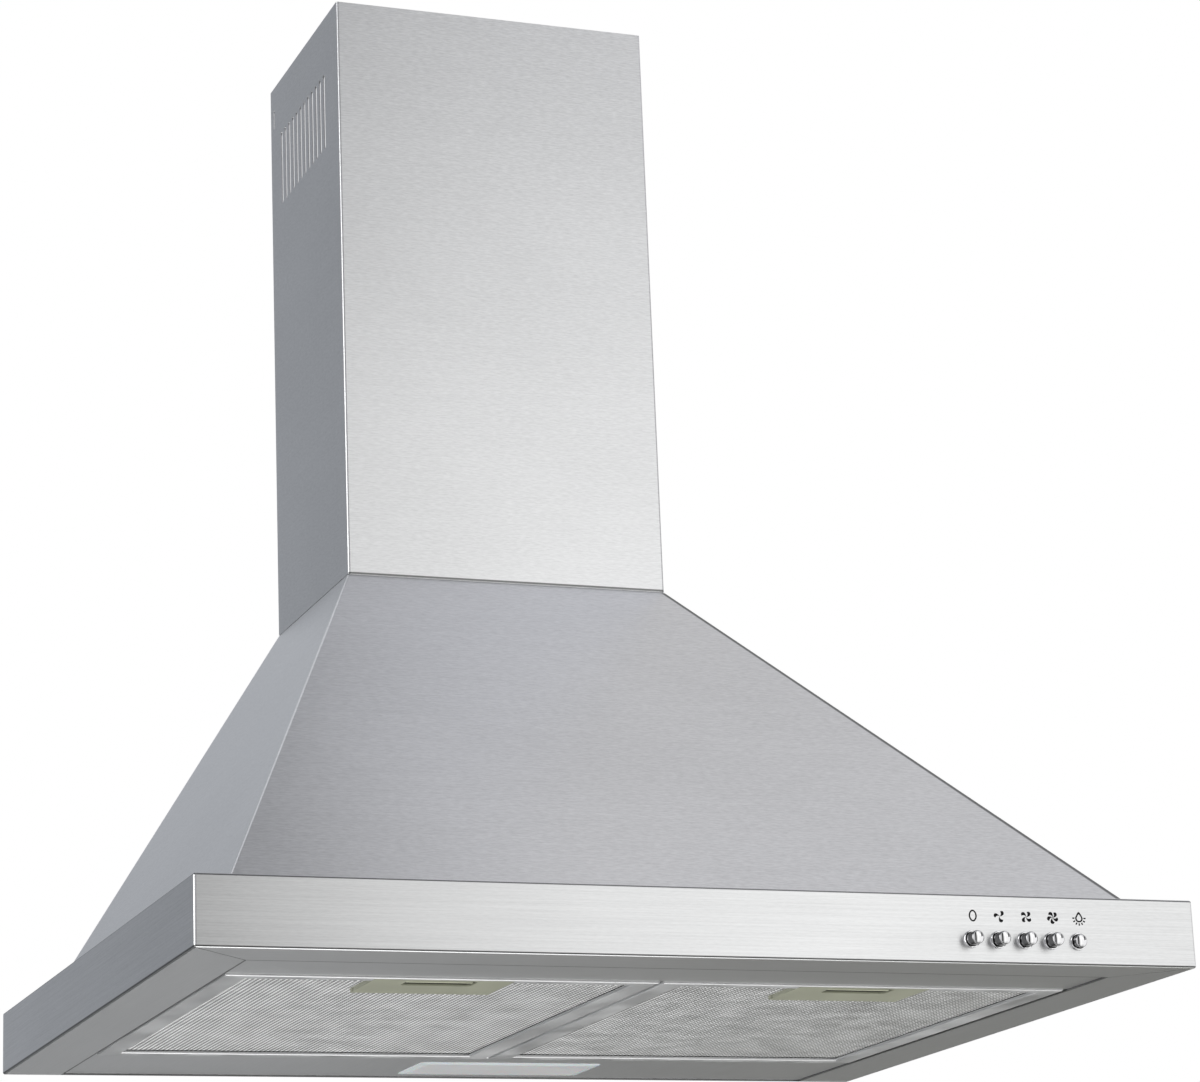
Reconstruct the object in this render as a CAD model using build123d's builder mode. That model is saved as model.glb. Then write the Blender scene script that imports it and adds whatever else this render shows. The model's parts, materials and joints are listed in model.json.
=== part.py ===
from build123d import *
import math
import os

os.makedirs("parts", exist_ok=True)

# Frame: X runs to the viewer's right, +Y into the wall, +Z up, in millimetres.
# The origin is the middle of the four wall screws, on the wall plane.

# Outer sizes of the hood
HOOD_WIDTH = 600.0
HOOD_DEPTH = 500.0
RIM_HEIGHT = 40.0
PYRAMID_HEIGHT = 263.0
PYRAMID_INSET = 25.0
CHIMNEY_WIDTH = 220.0
CHIMNEY_DEPTH = 167.0
CHIMNEY_HEIGHT = 402.0
SHEET = 1.0
BEND_RADIUS = 1.5

# Wall screws in the back panel
WALL_SCREW_HEIGHT = 200.0
WALL_SCREW_SPACING_X = 180.0
WALL_SCREW_SPACING_Z = 100.0
WALL_SCREW_HOLE_RADIUS = 3.5
BACK_LAP = 14.0
LAP_JOIN = 3.0
LAP_MARGIN = 10.0

# Rim and the panel that carries the filters
FLANGE = 39.0
MITRE_GAP = 0.4
MITRE_STOP = 4.0
PYRAMID_SEAT = 8.0
PANEL_GAP = 0.5
FRONT_STRIP = 50.0
REAR_STRIP = 90.0
BEAD_RADIUS = 1.5
BEAD_END_GAP = 2.0
PANEL_UPTURN = 12.0

# Chimney vents and fixing slot, measured from the wall and from the top
CHIMNEY_REVEAL = 0.6
CHIMNEY_FLANGE = 12.0
CHIMNEY_FLANGE_END = 20.0
CHIMNEY_FRONT_FLANGE = 9.0
VENT_COUNT = 12
VENT_FIRST = 27.0
VENT_PITCH = 9.65
VENT_WIDTH = 4.4
VENT_LENGTH = 54.0
VENT_DROP = 40.0
FIXING_SLOT_FROM_WALL = 8.0
FIXING_SLOT_WIDTH = 3.0
FIXING_SLOT_LENGTH = 14.5
FIXING_SLOT_DROP = 16.5

# Grease filters
FILTER_GAP = 1.5
FILTER_SIDE_GAP = 1.5
FILTER_CENTRE_GAP = 2.0
FILTER_DROP = 1.0
FILTER_THICKNESS = 9.0
FILTER_BORDER = 10.0
FILTER_SIDE_BORDER = 14.5
FILTER_EDGE_ROUND = 1.5
GROOVE_DEPTH = 4.0
MESH_THICKNESS = 5.0
MESH_CLEARANCE = 0.2
MESH_PITCH = 21.0
MESH_GAP = 17.0
HOOK_WIDTH = 30.0
HOOK_SPREAD = 160.0
HOOK_THICKNESS = 1.5
HOOK_REACH = 7.0
HOOK_CLEARANCE = 0.3

# Filter latch: handle, sliding tongue, spring and spring catch
HANDLE_SETBACK = 2.5
HANDLE_WIDTH = 83.0
HANDLE_DEPTH = 49.5
HANDLE_THICKNESS = 8.4
HANDLE_CORNER = 6.0
HANDLE_CLEARANCE = 0.3
POCKET_WIDTH = 42.0
POCKET_DEPTH = 17.0
POCKET_OFFSET = 3.5
POCKET_CORNER = 3.0
TONGUE_WIDTH = 24.0
TONGUE_RISE = 5.6
TONGUE_THICKNESS = 1.8
TONGUE_SETBACK = 1.0
SLIDE_CLEARANCE = 0.3
FINGER_ROOM = 7.5
LIP_THICKNESS = 2.0
LIP_SIDE_GAP = 1.0
LIP_RECESS = 0.6
TONGUE_TAIL = 2.5
LATCH_SPRING_LENGTH = 12.0
LATCH_SPRING_RADIUS = 1.0
LATCH_SPRING_WIRE = 0.2
LATCH_SPRING_TURNS = 7
CATCH_WIDTH = 18.0
CATCH_SHEET = 0.6
CATCH_FOOT = 12.0
CATCH_SETBACK = 2.0
CATCH_OVERLAP = 3.0
CATCH_CLEARANCE = 0.3
NOTCH_CLEARANCE = 1.0

# Push buttons and the switch box behind the lip
BUTTON_COUNT = 5
LIGHT_BUTTON = 4
BUTTON_FROM_END = 144.6
BUTTON_PITCH = 17.0
BUTTON_HEIGHT = 13.9
BUTTON_RADIUS = 3.9
BUTTON_OUT = 9.3
BUTTON_DOME = 13.0
BUTTON_TRAVEL = 4.5
BUTTON_ROUND = 1.0
BUTTON_COLLAR_RADIUS = 5.2
BUTTON_COLLAR = 2.0
BUTTON_TAIL_RADIUS = 1.5
BUTTON_TAIL_END = 1.0
STOP_CLEARANCE = 0.3
GUIDE_CLEARANCE = 0.08
BEZEL_RADIUS = 5.1
BEZEL_THICKNESS = 1.2
BEZEL_NECK_RADIUS = 4.7
BEZEL_BORE_GAP = 0.35
BEZEL_HOLE_GAP = 0.1
BEZEL_ROUND = 0.4
SWITCH_DEPTH = 28.0
SWITCH_HALF_HEIGHT = 10.0
SWITCH_WALL = 2.0
SWITCH_END = 14.0
SWITCH_END_BLOCK = 6.0
SWITCH_COVER = 2.0
BUTTON_SPRING_RADIUS = 2.9
BUTTON_SPRING_WIRE = 0.3
BUTTON_SPRING_TURNS = 7
SPRING_SEAT_GAP = 0.05

# Lamp in the rear strip
LENS_X = 26.0
LENS_FROM_WALL = 42.0
LENS_LENGTH = 126.0
LENS_WIDTH = 56.0
LENS_LIP = 0.9
LENS_BEVEL = 0.6
LENS_BORDER = 5.0
LENS_PLUG = 3.0
LENS_CORNER = 4.0
LENS_CLEARANCE = 0.3
LAMP_BOX_HEIGHT = 40.0
LAMP_BOX_MARGIN = 1.0
LAMP_AXIS_HEIGHT = 22.0
SOCKET_RADIUS = 13.0
SOCKET_LENGTH = 30.0
SOCKET_BORE_RADIUS = 7.2
SOCKET_BORE_DEPTH = 22.0
BULB_BASE_RADIUS = 6.9
BULB_BASE_LENGTH = 21.0
BULB_RADIUS = 11.0
BULB_LENGTH = 52.0

# Blower
WHEEL_RADIUS = 64.0
WHEEL_WIDTH = 96.0
WHEEL_GAP = 6.0
WHEEL_SIDE_GAP = 8.0
BLADE_COUNT = 30
BLADE_DEPTH = 11.0
BLADE_THICKNESS = 1.2
BLADE_LEAN = 30.0
WHEEL_PLATE = 2.0
HUB_RADIUS = 10.0
HUB_LENGTH = 22.0
SPIRAL_STEP = 12.0
SCROLL_SHEET = 1.5
SCROLL_FLANGE = 14.0
FAN_DROP = 118.0
INLET_RADIUS = 48.0
INLET_LIP = 6.0
INLET_FLANGE = 8.0
INLET_LAP = 4.0
SHAFT_RADIUS = 4.0
SHAFT_FIT = 0.05
SHAFT_STUB = 3.0
MOTOR_RADIUS = 36.0
MOTOR_FRONT_GAP = 3.0
MOTOR_TAIL = 12.0
MOTOR_FLANGE = 8.0
MOTOR_FLANGE_SHEET = 3.0
MOTOR_BORE_RADIUS = 6.0
BEARING_RADIUS = 9.0
BEARING_WIDTH = 6.0
BEARING_SEAT_GAP = 0.1
BRACKET_SHEET = 2.5
BRACKET_ARM_WIDTH = 16.0
BRACKET_SCREW_CIRCLE = 62.0
BRACKET_ARM_END = 6.0
BRACKET_BORE_GAP = 0.5
BRACKET_ARMS = 3

# Outlet collar and damper flaps
COLLAR_RADIUS = 59.0
COLLAR_WALL = 2.5
COLLAR_HEIGHT = 60.0
COLLAR_FLANGE = 13.0
COLLAR_FLANGE_SHEET = 2.0
OUTLET_SCREW_CIRCLE = 65.0
OUTLET_SCREWS = 4
FLAP_HEIGHT = 22.0
FLAP_SHEET = 1.5
FLAP_OFFSET = 5.0
FLAP_EDGE_GAP = 1.0
FLAP_SEAT_GAP = 0.3
FLAP_PIN_RADIUS = 1.5
FLAP_PIN_FIT = 0.06
FLAP_PIN_BITE = 1.5
LEDGE_WIDTH = 3.5
LEDGE_SHEET = 2.0

# Electrical boxes on the back panel, and the cable gland on the cap
BOX_FROM_CENTRE = 125.0
BOX_ABOVE_RIM = 90.0
TERMINAL_WIDTH = 56.0
TERMINAL_DEPTH = 28.0
TERMINAL_HEIGHT = 45.0
TERMINAL_WALL = 2.0
TERMINAL_COVER = 2.5
CAPACITOR_WIDTH = 48.0
CAPACITOR_DEPTH = 24.0
CAPACITOR_HEIGHT = 36.0
BOX_ROUND = 2.0
GLAND_X = 84.0
GLAND_FROM_WALL = 26.0
GLAND_RADIUS = 6.8
GLAND_HOLE_GAP = 0.2
GLAND_NUT_RADIUS = 10.0
GLAND_NUT = 5.0
GLAND_TAIL = 10.0
GLAND_BORE_RADIUS = 4.0

# Screws
SCREW_RADIUS = 1.6
SCREW_HEAD_RADIUS = 3.2
SCREW_HEAD = 2.0
SCREW_HOLE_GAP = 0.15
SCREW_TIP = 4.0

# Levels and places that follow from the sizes above
rim_bottom = -WALL_SCREW_HEIGHT
rim_top = rim_bottom + RIM_HEIGHT
cap_top = rim_top + PYRAMID_HEIGHT
cap_under = cap_top - SHEET
chimney_top = cap_top + CHIMNEY_HEIGHT
panel_under = rim_bottom + SHEET
panel_top = panel_under + SHEET
half_width = HOOD_WIDTH / 2
half_opening = half_width - FLANGE
half_chimney = CHIMNEY_WIDTH / 2
base_half = half_width - PYRAMID_INSET
base_front = -(HOOD_DEPTH - PYRAMID_INSET)
strip_front = -(HOOD_DEPTH - FLANGE - FRONT_STRIP)
hinge_y = -REAR_STRIP
hinge_z = panel_under + BEAD_RADIUS
duct_y = -CHIMNEY_DEPTH / 2
screw_hole = SCREW_RADIUS + SCREW_HOLE_GAP

filter_under = panel_under - FILTER_DROP
filter_top = filter_under + FILTER_THICKNESS
filter_front = strip_front + FILTER_GAP
filter_rear = hinge_y - BEAD_RADIUS - FILTER_GAP
filter_inner = FILTER_CENTRE_GAP / 2
filter_outer = half_opening - FILTER_SIDE_GAP
filter_middle = (filter_inner + filter_outer) / 2
filter_half = (filter_outer - filter_inner) / 2
mesh_under = filter_under + (FILTER_THICKNESS - MESH_THICKNESS) / 2

handle_front = filter_front + HANDLE_SETBACK
handle_rear = handle_front + HANDLE_DEPTH
pocket_front = handle_front + POCKET_OFFSET
pocket_rear = pocket_front + POCKET_DEPTH
tongue_under = filter_under + TONGUE_RISE
tongue_top = tongue_under + TONGUE_THICKNESS
tongue_front = filter_front + TONGUE_SETBACK
channel_floor = tongue_under - SLIDE_CLEARANCE
lip_front = pocket_front + FINGER_ROOM
lip_rear = lip_front + LIP_THICKNESS
tongue_rear = lip_rear + TONGUE_TAIL
channel_rear = tongue_rear + LATCH_SPRING_LENGTH
catch_top = tongue_under - CATCH_CLEARANCE
catch_nose = tongue_front + CATCH_OVERLAP
notch_floor = catch_top - CATCH_SHEET - NOTCH_CLEARANCE
notch_half = TONGUE_WIDTH / 2 + NOTCH_CLEARANCE
half_handle = HANDLE_WIDTH / 2 + HANDLE_CLEARANCE

button_first = half_width - BUTTON_FROM_END
button_z = rim_bottom + BUTTON_HEIGHT
lip_inside = -(HOOD_DEPTH - SHEET)
switch_rear = lip_inside + SWITCH_DEPTH
collar_stop = lip_inside + SWITCH_WALL + STOP_CLEARANCE
switch_left = button_first - SWITCH_END
switch_right = button_first + (BUTTON_COUNT - 1) * BUTTON_PITCH + SWITCH_END

lens_y = -LENS_FROM_WALL
lamp_z = panel_top + LAMP_AXIS_HEIGHT
lamp_box_half_length = LENS_LENGTH / 2 + LAMP_BOX_MARGIN
lamp_box_half_width = LENS_WIDTH / 2 + LAMP_BOX_MARGIN
socket_start = LENS_X - lamp_box_half_length + SHEET

# The scroll is a spiral of three quarter arcs about the corners of a small square
arc_1 = WHEEL_RADIUS + WHEEL_GAP + SPIRAL_STEP / 2
arc_2 = arc_1 + SPIRAL_STEP
arc_3 = arc_2 + SPIRAL_STEP
throat_front = -SPIRAL_STEP / 2
throat_rear = SPIRAL_STEP / 2 + arc_3
fan_y = duct_y - (throat_front + throat_rear) / 2
fan_z = cap_under - FAN_DROP
scroll_half = WHEEL_WIDTH / 2 + WHEEL_SIDE_GAP
plate_outside = scroll_half + SCROLL_SHEET
flange_under = cap_under - SCROLL_SHEET
motor_start = HUB_LENGTH / 2 + MOTOR_FRONT_GAP
motor_end = plate_outside + BRACKET_SHEET + MOTOR_TAIL

collar_inside = COLLAR_RADIUS - COLLAR_WALL
flap_z = cap_top + FLAP_HEIGHT
ledge_top = flap_z - FLAP_SHEET - FLAP_SEAT_GAP
outlet_screw_top = cap_top + COLLAR_FLANGE_SHEET
chimney_screw_x = half_chimney - SHEET - CHIMNEY_FLANGE / 2
chimney_screw_y = (-CHIMNEY_DEPTH + 2 * CHIMNEY_FLANGE_END, -2 * CHIMNEY_FLANGE_END)


def save(piece, name):
    """Label a finished piece and write its file."""
    piece.part.label = name
    export_step(piece.part, f"parts/{name}.step")


def block(x_span, y_span, z_span, mode=Mode.ADD):
    """Add or cut a box that runs between the given spans."""
    middle = [(span[0] + span[1]) / 2 for span in (x_span, y_span, z_span)]
    with Locations(tuple(middle)):
        Box(*[abs(span[1] - span[0]) for span in (x_span, y_span, z_span)], mode=mode)


def upright(place, radius, z_span, mode=Mode.ADD):
    """Add or cut a cylinder about a vertical axis through place."""
    with Locations((place[0], place[1], (z_span[0] + z_span[1]) / 2)):
        Cylinder(radius, abs(z_span[1] - z_span[0]), mode=mode)


def along_x(place, radius, x_span, mode=Mode.ADD):
    """Add or cut a cylinder about an axis along X, through the place given as (y, z)."""
    with Locations(((x_span[0] + x_span[1]) / 2, place[0], place[1])):
        Cylinder(radius, abs(x_span[1] - x_span[0]), rotation=(0, 90, 0), mode=mode)


def along_y(place, radius, y_span, mode=Mode.ADD):
    """Add or cut a cylinder about an axis along Y, through the place given as (x, z)."""
    with Locations((place[0], (y_span[0] + y_span[1]) / 2, place[1])):
        Cylinder(radius, abs(y_span[1] - y_span[0]), rotation=(90, 0, 0), mode=mode)


def button_x(index):
    """Place of a button along the lip."""
    return button_first + index * BUTTON_PITCH


def coil_spring(x, y_span, z, radius, wire, turns):
    """A compression spring about an axis along Y that fills y_span."""
    start = y_span[0] + wire + SPRING_SEAT_GAP
    length = y_span[1] - wire - SPRING_SEAT_GAP - start
    with BuildPart() as spring:
        with BuildLine() as path:
            Helix(length / turns, length, radius, center=(x, start, z), direction=(0, 1, 0))
        with BuildSketch(Plane(origin=path.line @ 0, z_dir=path.line % 0)):
            Circle(wire)
        sweep(is_frenet=True)
    return spring


# Rim frame: front lip, side walls, rear wall and the folded flanges
with BuildPart() as rim_frame:
    block((-half_width, half_width), (-HOOD_DEPTH, 0), (rim_bottom, rim_top))
    folds = rim_frame.edges().filter_by(Axis.Z).group_by(Axis.Y)[0]
    folds += rim_frame.edges().filter_by(Axis.X).group_by(Axis.Y)[0]
    folds += rim_frame.edges().filter_by(Axis.Y)
    fillet(folds, BEND_RADIUS)
    block(
        (-half_width + SHEET, half_width - SHEET),
        (lip_inside, -SHEET),
        (rim_bottom + SHEET, rim_top - SHEET),
        mode=Mode.SUBTRACT,
    )
    block(
        (-half_opening, half_opening),
        (-HOOD_DEPTH + FLANGE, -SHEET),
        (rim_bottom, rim_bottom + SHEET),
        mode=Mode.SUBTRACT,
    )
    block(
        (-base_half + PYRAMID_SEAT, base_half - PYRAMID_SEAT),
        (base_front + PYRAMID_SEAT, -SHEET),
        (rim_top - SHEET, rim_top),
        mode=Mode.SUBTRACT,
    )
    mitre_end = FLANGE + MITRE_GAP
    mitre_middle = (MITRE_STOP + mitre_end) / 2
    mitre_length = (mitre_end - MITRE_STOP) * math.sqrt(2)
    for side in (-1, 1):
        mitre_place = (side * (half_width - mitre_middle), -HOOD_DEPTH + mitre_middle)
        with Locations(Location((*mitre_place, rim_bottom + SHEET / 2), (0, 0, -side * 45))):
            Box(mitre_length, MITRE_GAP, SHEET, mode=Mode.SUBTRACT)
    for index in range(BUTTON_COUNT):
        along_y(
            (button_x(index), button_z),
            BEZEL_NECK_RADIUS + BEZEL_HOLE_GAP,
            (-HOOD_DEPTH, lip_inside),
            mode=Mode.SUBTRACT,
        )
save(rim_frame, "rim_frame")

# Pyramid: three sloping panels welded along their mitred folds, and the flat cap plate on top
side_run = base_half - half_chimney
front_run = -CHIMNEY_DEPTH - base_front
side_wall = SHEET * math.hypot(1, side_run / PYRAMID_HEIGHT)
front_wall = SHEET * math.hypot(1, front_run / PYRAMID_HEIGHT)


def pyramid_section(level, side_inset=0.0, front_inset=0.0):
    """Half width and front edge of the pyramid at a level, drawn in by the given insets."""
    share = (level - rim_top) / PYRAMID_HEIGHT
    return base_half - share * side_run - side_inset, base_front + share * front_run + front_inset


with BuildPart() as pyramid_shell:
    for level in (rim_top, cap_top):
        half, front = pyramid_section(level)
        with BuildSketch(Plane.XY.offset(level)):
            with Locations((0, -SHEET)):
                Rectangle(2 * half, -SHEET - front, align=(Align.CENTER, Align.MAX))
    loft(ruled=True)
    sloped = pyramid_shell.edges().filter_by(Axis.X, reverse=True).filter_by(Axis.Y, reverse=True)
    fillet(sloped.sort_by(Axis.Y)[:2], BEND_RADIUS)
    for level in (rim_top, cap_under):
        half, front = pyramid_section(level, side_wall, front_wall)
        with BuildSketch(Plane.XY.offset(level)):
            Rectangle(2 * half, -front, align=(Align.CENTER, Align.MAX))
    loft(ruled=True, mode=Mode.SUBTRACT)
    cap_span = (cap_under, cap_top)
    upright((0, duct_y), collar_inside, cap_span, mode=Mode.SUBTRACT)
    with Locations((0, duct_y)), PolarLocations(OUTLET_SCREW_CIRCLE, OUTLET_SCREWS):
        upright((0, 0), screw_hole, cap_span, mode=Mode.SUBTRACT)
    for side in (-1, 1):
        for y in chimney_screw_y:
            upright((side * chimney_screw_x, y), screw_hole, cap_span, mode=Mode.SUBTRACT)
    gland_hole = GLAND_RADIUS + GLAND_HOLE_GAP
    upright((GLAND_X, -GLAND_FROM_WALL), gland_hole, cap_span, mode=Mode.SUBTRACT)


def mitre_plane(side):
    """Plane along a sloping fold, from its outer to its inner corner, that faces the side panel."""
    half, front = pyramid_section(rim_top)
    top_half, top_front = pyramid_section(cap_top)
    foot = Vector(side * half, front, rim_top)
    along = Vector(side * top_half, top_front, cap_top) - foot
    inward = Vector(-side * side_wall, front_wall, 0)
    return Plane(origin=foot, x_dir=along, z_dir=along.cross(inward) * -side)


cap_split = Plane.XY.offset(cap_under)
with BuildPart() as cap_plate:
    add(pyramid_shell.part)
    split(bisect_by=cap_split, keep=Keep.TOP)
save(cap_plate, "cap_plate")

with BuildPart() as pyramid_front:
    add(pyramid_shell.part)
    split(bisect_by=cap_split, keep=Keep.BOTTOM)
    for side in (-1, 1):
        split(bisect_by=mitre_plane(side), keep=Keep.BOTTOM)
save(pyramid_front, "pyramid_front")

for side, name in ((-1, "pyramid_left"), (1, "pyramid_right")):
    with BuildPart() as pyramid_side:
        add(pyramid_shell.part)
        split(bisect_by=cap_split, keep=Keep.BOTTOM)
        split(bisect_by=mitre_plane(side), keep=Keep.TOP)
    save(pyramid_side, name)

# Back panel: trapezoid between rim and chimney, with the wall screw holes and a lap inside the rim
with BuildPart() as back_panel:
    with BuildSketch(Plane.XZ):
        with BuildLine():
            Polyline(
                (-base_half, rim_top),
                (base_half, rim_top),
                (half_chimney, cap_top),
                (-half_chimney, cap_top),
                close=True,
            )
        make_face()
        with GridLocations(WALL_SCREW_SPACING_X, WALL_SCREW_SPACING_Z, 2, 2):
            Circle(WALL_SCREW_HOLE_RADIUS, mode=Mode.SUBTRACT)
    extrude(amount=SHEET)
    lap_half = base_half - PYRAMID_SEAT - LAP_MARGIN
    block((-lap_half, lap_half), (-2 * SHEET, -SHEET), (rim_top - BACK_LAP, rim_top + LAP_JOIN))
save(back_panel, "back_panel")

# Base panel: front and rear strips joined by rails above the side flanges, with a rolled rear edge
with BuildPart() as base_panel:
    panel_half = half_width - SHEET - PANEL_GAP
    block((-panel_half, panel_half), (lip_inside + PANEL_GAP, -SHEET), (panel_under, panel_top))
    block(
        (-half_opening, half_opening),
        (strip_front, hinge_y),
        (panel_under, panel_top),
        mode=Mode.SUBTRACT,
    )
    along_x(
        (hinge_y, hinge_z),
        BEAD_RADIUS,
        (-half_opening + BEAD_END_GAP, half_opening - BEAD_END_GAP),
    )
    block((-panel_half, panel_half), (-2 * SHEET, -SHEET), (panel_top, panel_top + PANEL_UPTURN))
    plug_half = (LENS_LENGTH / 2 - LENS_BORDER, LENS_WIDTH / 2 - LENS_BORDER)
    block(
        (LENS_X - plug_half[0] - LENS_CLEARANCE, LENS_X + plug_half[0] + LENS_CLEARANCE),
        (lens_y - plug_half[1] - LENS_CLEARANCE, lens_y + plug_half[1] + LENS_CLEARANCE),
        (panel_under, panel_top),
        mode=Mode.SUBTRACT,
    )
save(base_panel, "base_panel")

# Chimney cover: one folded sheet, open to the wall, with vents and inner screw flanges
with BuildPart() as chimney_cover:
    wall_span = (cap_top + CHIMNEY_REVEAL, chimney_top)
    block((-half_chimney, half_chimney), (-CHIMNEY_DEPTH, 0), wall_span)
    fillet(chimney_cover.edges().filter_by(Axis.Z).group_by(Axis.Y)[0], BEND_RADIUS)
    block(
        (-half_chimney + SHEET, half_chimney - SHEET),
        (-CHIMNEY_DEPTH + SHEET, 0),
        wall_span,
        mode=Mode.SUBTRACT,
    )
    for side in (-1, 1):
        block(
            (side * (half_chimney - SHEET - CHIMNEY_FLANGE), side * (half_chimney - CHIMNEY_REVEAL)),
            (-CHIMNEY_DEPTH + CHIMNEY_FLANGE_END, -CHIMNEY_FLANGE_END),
            (cap_top, cap_top + SHEET),
        )
        for y in chimney_screw_y:
            flange_span = (cap_top, cap_top + SHEET)
            upright((side * chimney_screw_x, y), screw_hole, flange_span, mode=Mode.SUBTRACT)
    block(
        (-half_chimney + BEND_RADIUS, half_chimney - BEND_RADIUS),
        (-CHIMNEY_DEPTH + CHIMNEY_REVEAL, -CHIMNEY_DEPTH + SHEET + CHIMNEY_FRONT_FLANGE),
        (cap_top, cap_top + SHEET),
    )
    with BuildSketch(Plane.YZ):
        vent_z = chimney_top - VENT_DROP - VENT_LENGTH / 2
        with Locations(*[(-VENT_FIRST - index * VENT_PITCH, vent_z) for index in range(VENT_COUNT)]):
            SlotOverall(VENT_LENGTH, VENT_WIDTH, rotation=90)
        slot_z = chimney_top - FIXING_SLOT_DROP - FIXING_SLOT_LENGTH / 2
        with Locations((-FIXING_SLOT_FROM_WALL, slot_z)):
            SlotOverall(FIXING_SLOT_LENGTH, FIXING_SLOT_WIDTH, rotation=90)
    extrude(amount=CHIMNEY_WIDTH, both=True, mode=Mode.SUBTRACT)
save(chimney_cover, "chimney_cover")

# Chimney screws: two through each inner flange into the cap
with BuildPart() as chimney_screws:
    for side in (-1, 1):
        for y in chimney_screw_y:
            seat = cap_top + SHEET
            upright((side * chimney_screw_x, y), SCREW_HEAD_RADIUS, (seat, seat + SCREW_HEAD))
            upright((side * chimney_screw_x, y), SCREW_RADIUS, (cap_under - SCREW_TIP, seat))
save(chimney_screws, "chimney_screws")

# Outlet collar: the duct slides over it, and two damper flaps rest on its ledge
with BuildPart() as outlet_collar:
    upright((0, duct_y), COLLAR_RADIUS + COLLAR_FLANGE, (cap_top, cap_top + COLLAR_FLANGE_SHEET))
    upright((0, duct_y), COLLAR_RADIUS, (cap_top, cap_top + COLLAR_HEIGHT))
    upright((0, duct_y), collar_inside, (cap_top, cap_top + COLLAR_HEIGHT), mode=Mode.SUBTRACT)
    upright((0, duct_y), collar_inside, (ledge_top - LEDGE_SHEET, ledge_top))
    upright(
        (0, duct_y),
        collar_inside - LEDGE_WIDTH,
        (ledge_top - LEDGE_SHEET, ledge_top),
        mode=Mode.SUBTRACT,
    )
    for side in (-1, 1):
        along_x(
            (duct_y + side * FLAP_OFFSET, flap_z),
            FLAP_PIN_RADIUS + FLAP_PIN_FIT,
            (-COLLAR_RADIUS, COLLAR_RADIUS),
            mode=Mode.SUBTRACT,
        )
    with Locations((0, duct_y)), PolarLocations(OUTLET_SCREW_CIRCLE, OUTLET_SCREWS):
        upright((0, 0), screw_hole, (cap_top, cap_top + COLLAR_FLANGE_SHEET), mode=Mode.SUBTRACT)
save(outlet_collar, "outlet_collar")

# Damper flaps: a disc segment fused to its pivot pin, one each side of the middle
pin_half = math.sqrt(COLLAR_RADIUS**2 - FLAP_OFFSET**2) - (COLLAR_WALL - FLAP_PIN_BITE)
flap_radius = collar_inside - FLAP_EDGE_GAP
for side, name in ((-1, "damper_flap_front"), (1, "damper_flap_rear")):
    with BuildPart() as damper_flap:
        upright((0, duct_y), flap_radius, (flap_z - FLAP_SHEET, flap_z))
        cut_edge = duct_y + side * FLAP_OFFSET
        block(
            (-flap_radius, flap_radius),
            (cut_edge, cut_edge - side * 2 * flap_radius),
            (flap_z - FLAP_SHEET, flap_z),
            mode=Mode.SUBTRACT,
        )
        along_x((cut_edge, flap_z), FLAP_PIN_RADIUS, (-pin_half, pin_half))
    save(damper_flap, name)

# Outlet screws: through collar, cap and blower flange
with BuildPart() as outlet_screws:
    with Locations((0, duct_y)), PolarLocations(OUTLET_SCREW_CIRCLE, OUTLET_SCREWS):
        upright((0, 0), SCREW_HEAD_RADIUS, (outlet_screw_top, outlet_screw_top + SCREW_HEAD))
        upright((0, 0), SCREW_RADIUS, (flange_under - SCREW_TIP, outlet_screw_top))
save(outlet_screws, "outlet_screws")


def scroll_outline(margin, top):
    """Side view of the blower's air path, drawn margin outside it, with a straight throat up to top."""
    centre_1 = (-SPIRAL_STEP / 2, -SPIRAL_STEP / 2)
    centre_2 = (SPIRAL_STEP / 2, -SPIRAL_STEP / 2)
    centre_3 = (SPIRAL_STEP / 2, SPIRAL_STEP / 2)
    start = 90 + math.degrees(math.asin(margin / (arc_1 + margin)))
    with BuildLine() as outline:
        tongue = CenterArc(centre_1, arc_1 + margin, start, 180 - start)
        CenterArc(centre_2, arc_2 + margin, 180, 90)
        rear = CenterArc(centre_3, arc_3 + margin, 270, 90)
        Polyline(rear @ 1, (throat_rear + margin, top), (throat_front - margin, top), tongue @ 0)
    return outline.edges()


def fan_plane(x):
    """Plane across the fan's axis, with its own x towards the wall and its own y up."""
    return Plane(origin=(x, fan_y, fan_z), x_dir=(0, 1, 0), z_dir=(1, 0, 0))


# Blower housing: the scroll's wrapper with the flange that hangs from the cap
with BuildPart() as blower_housing:
    with BuildSketch(fan_plane(-scroll_half)):
        make_face(scroll_outline(SCROLL_SHEET, FAN_DROP))
        make_face(scroll_outline(0, FAN_DROP), mode=Mode.SUBTRACT)
    extrude(amount=2 * scroll_half)
    flange_half = scroll_half + SCROLL_FLANGE
    throat_span = (fan_y + throat_front, fan_y + throat_rear)
    block(
        (-flange_half, flange_half),
        (throat_span[0] - SCROLL_FLANGE, throat_span[1] + SCROLL_FLANGE),
        (flange_under, cap_under),
    )
    block((-scroll_half, scroll_half), throat_span, (flange_under, cap_under), mode=Mode.SUBTRACT)
    with Locations((0, duct_y)), PolarLocations(OUTLET_SCREW_CIRCLE, OUTLET_SCREWS):
        upright((0, 0), screw_hole, (flange_under, cap_under), mode=Mode.SUBTRACT)
save(blower_housing, "blower_housing")

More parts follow.
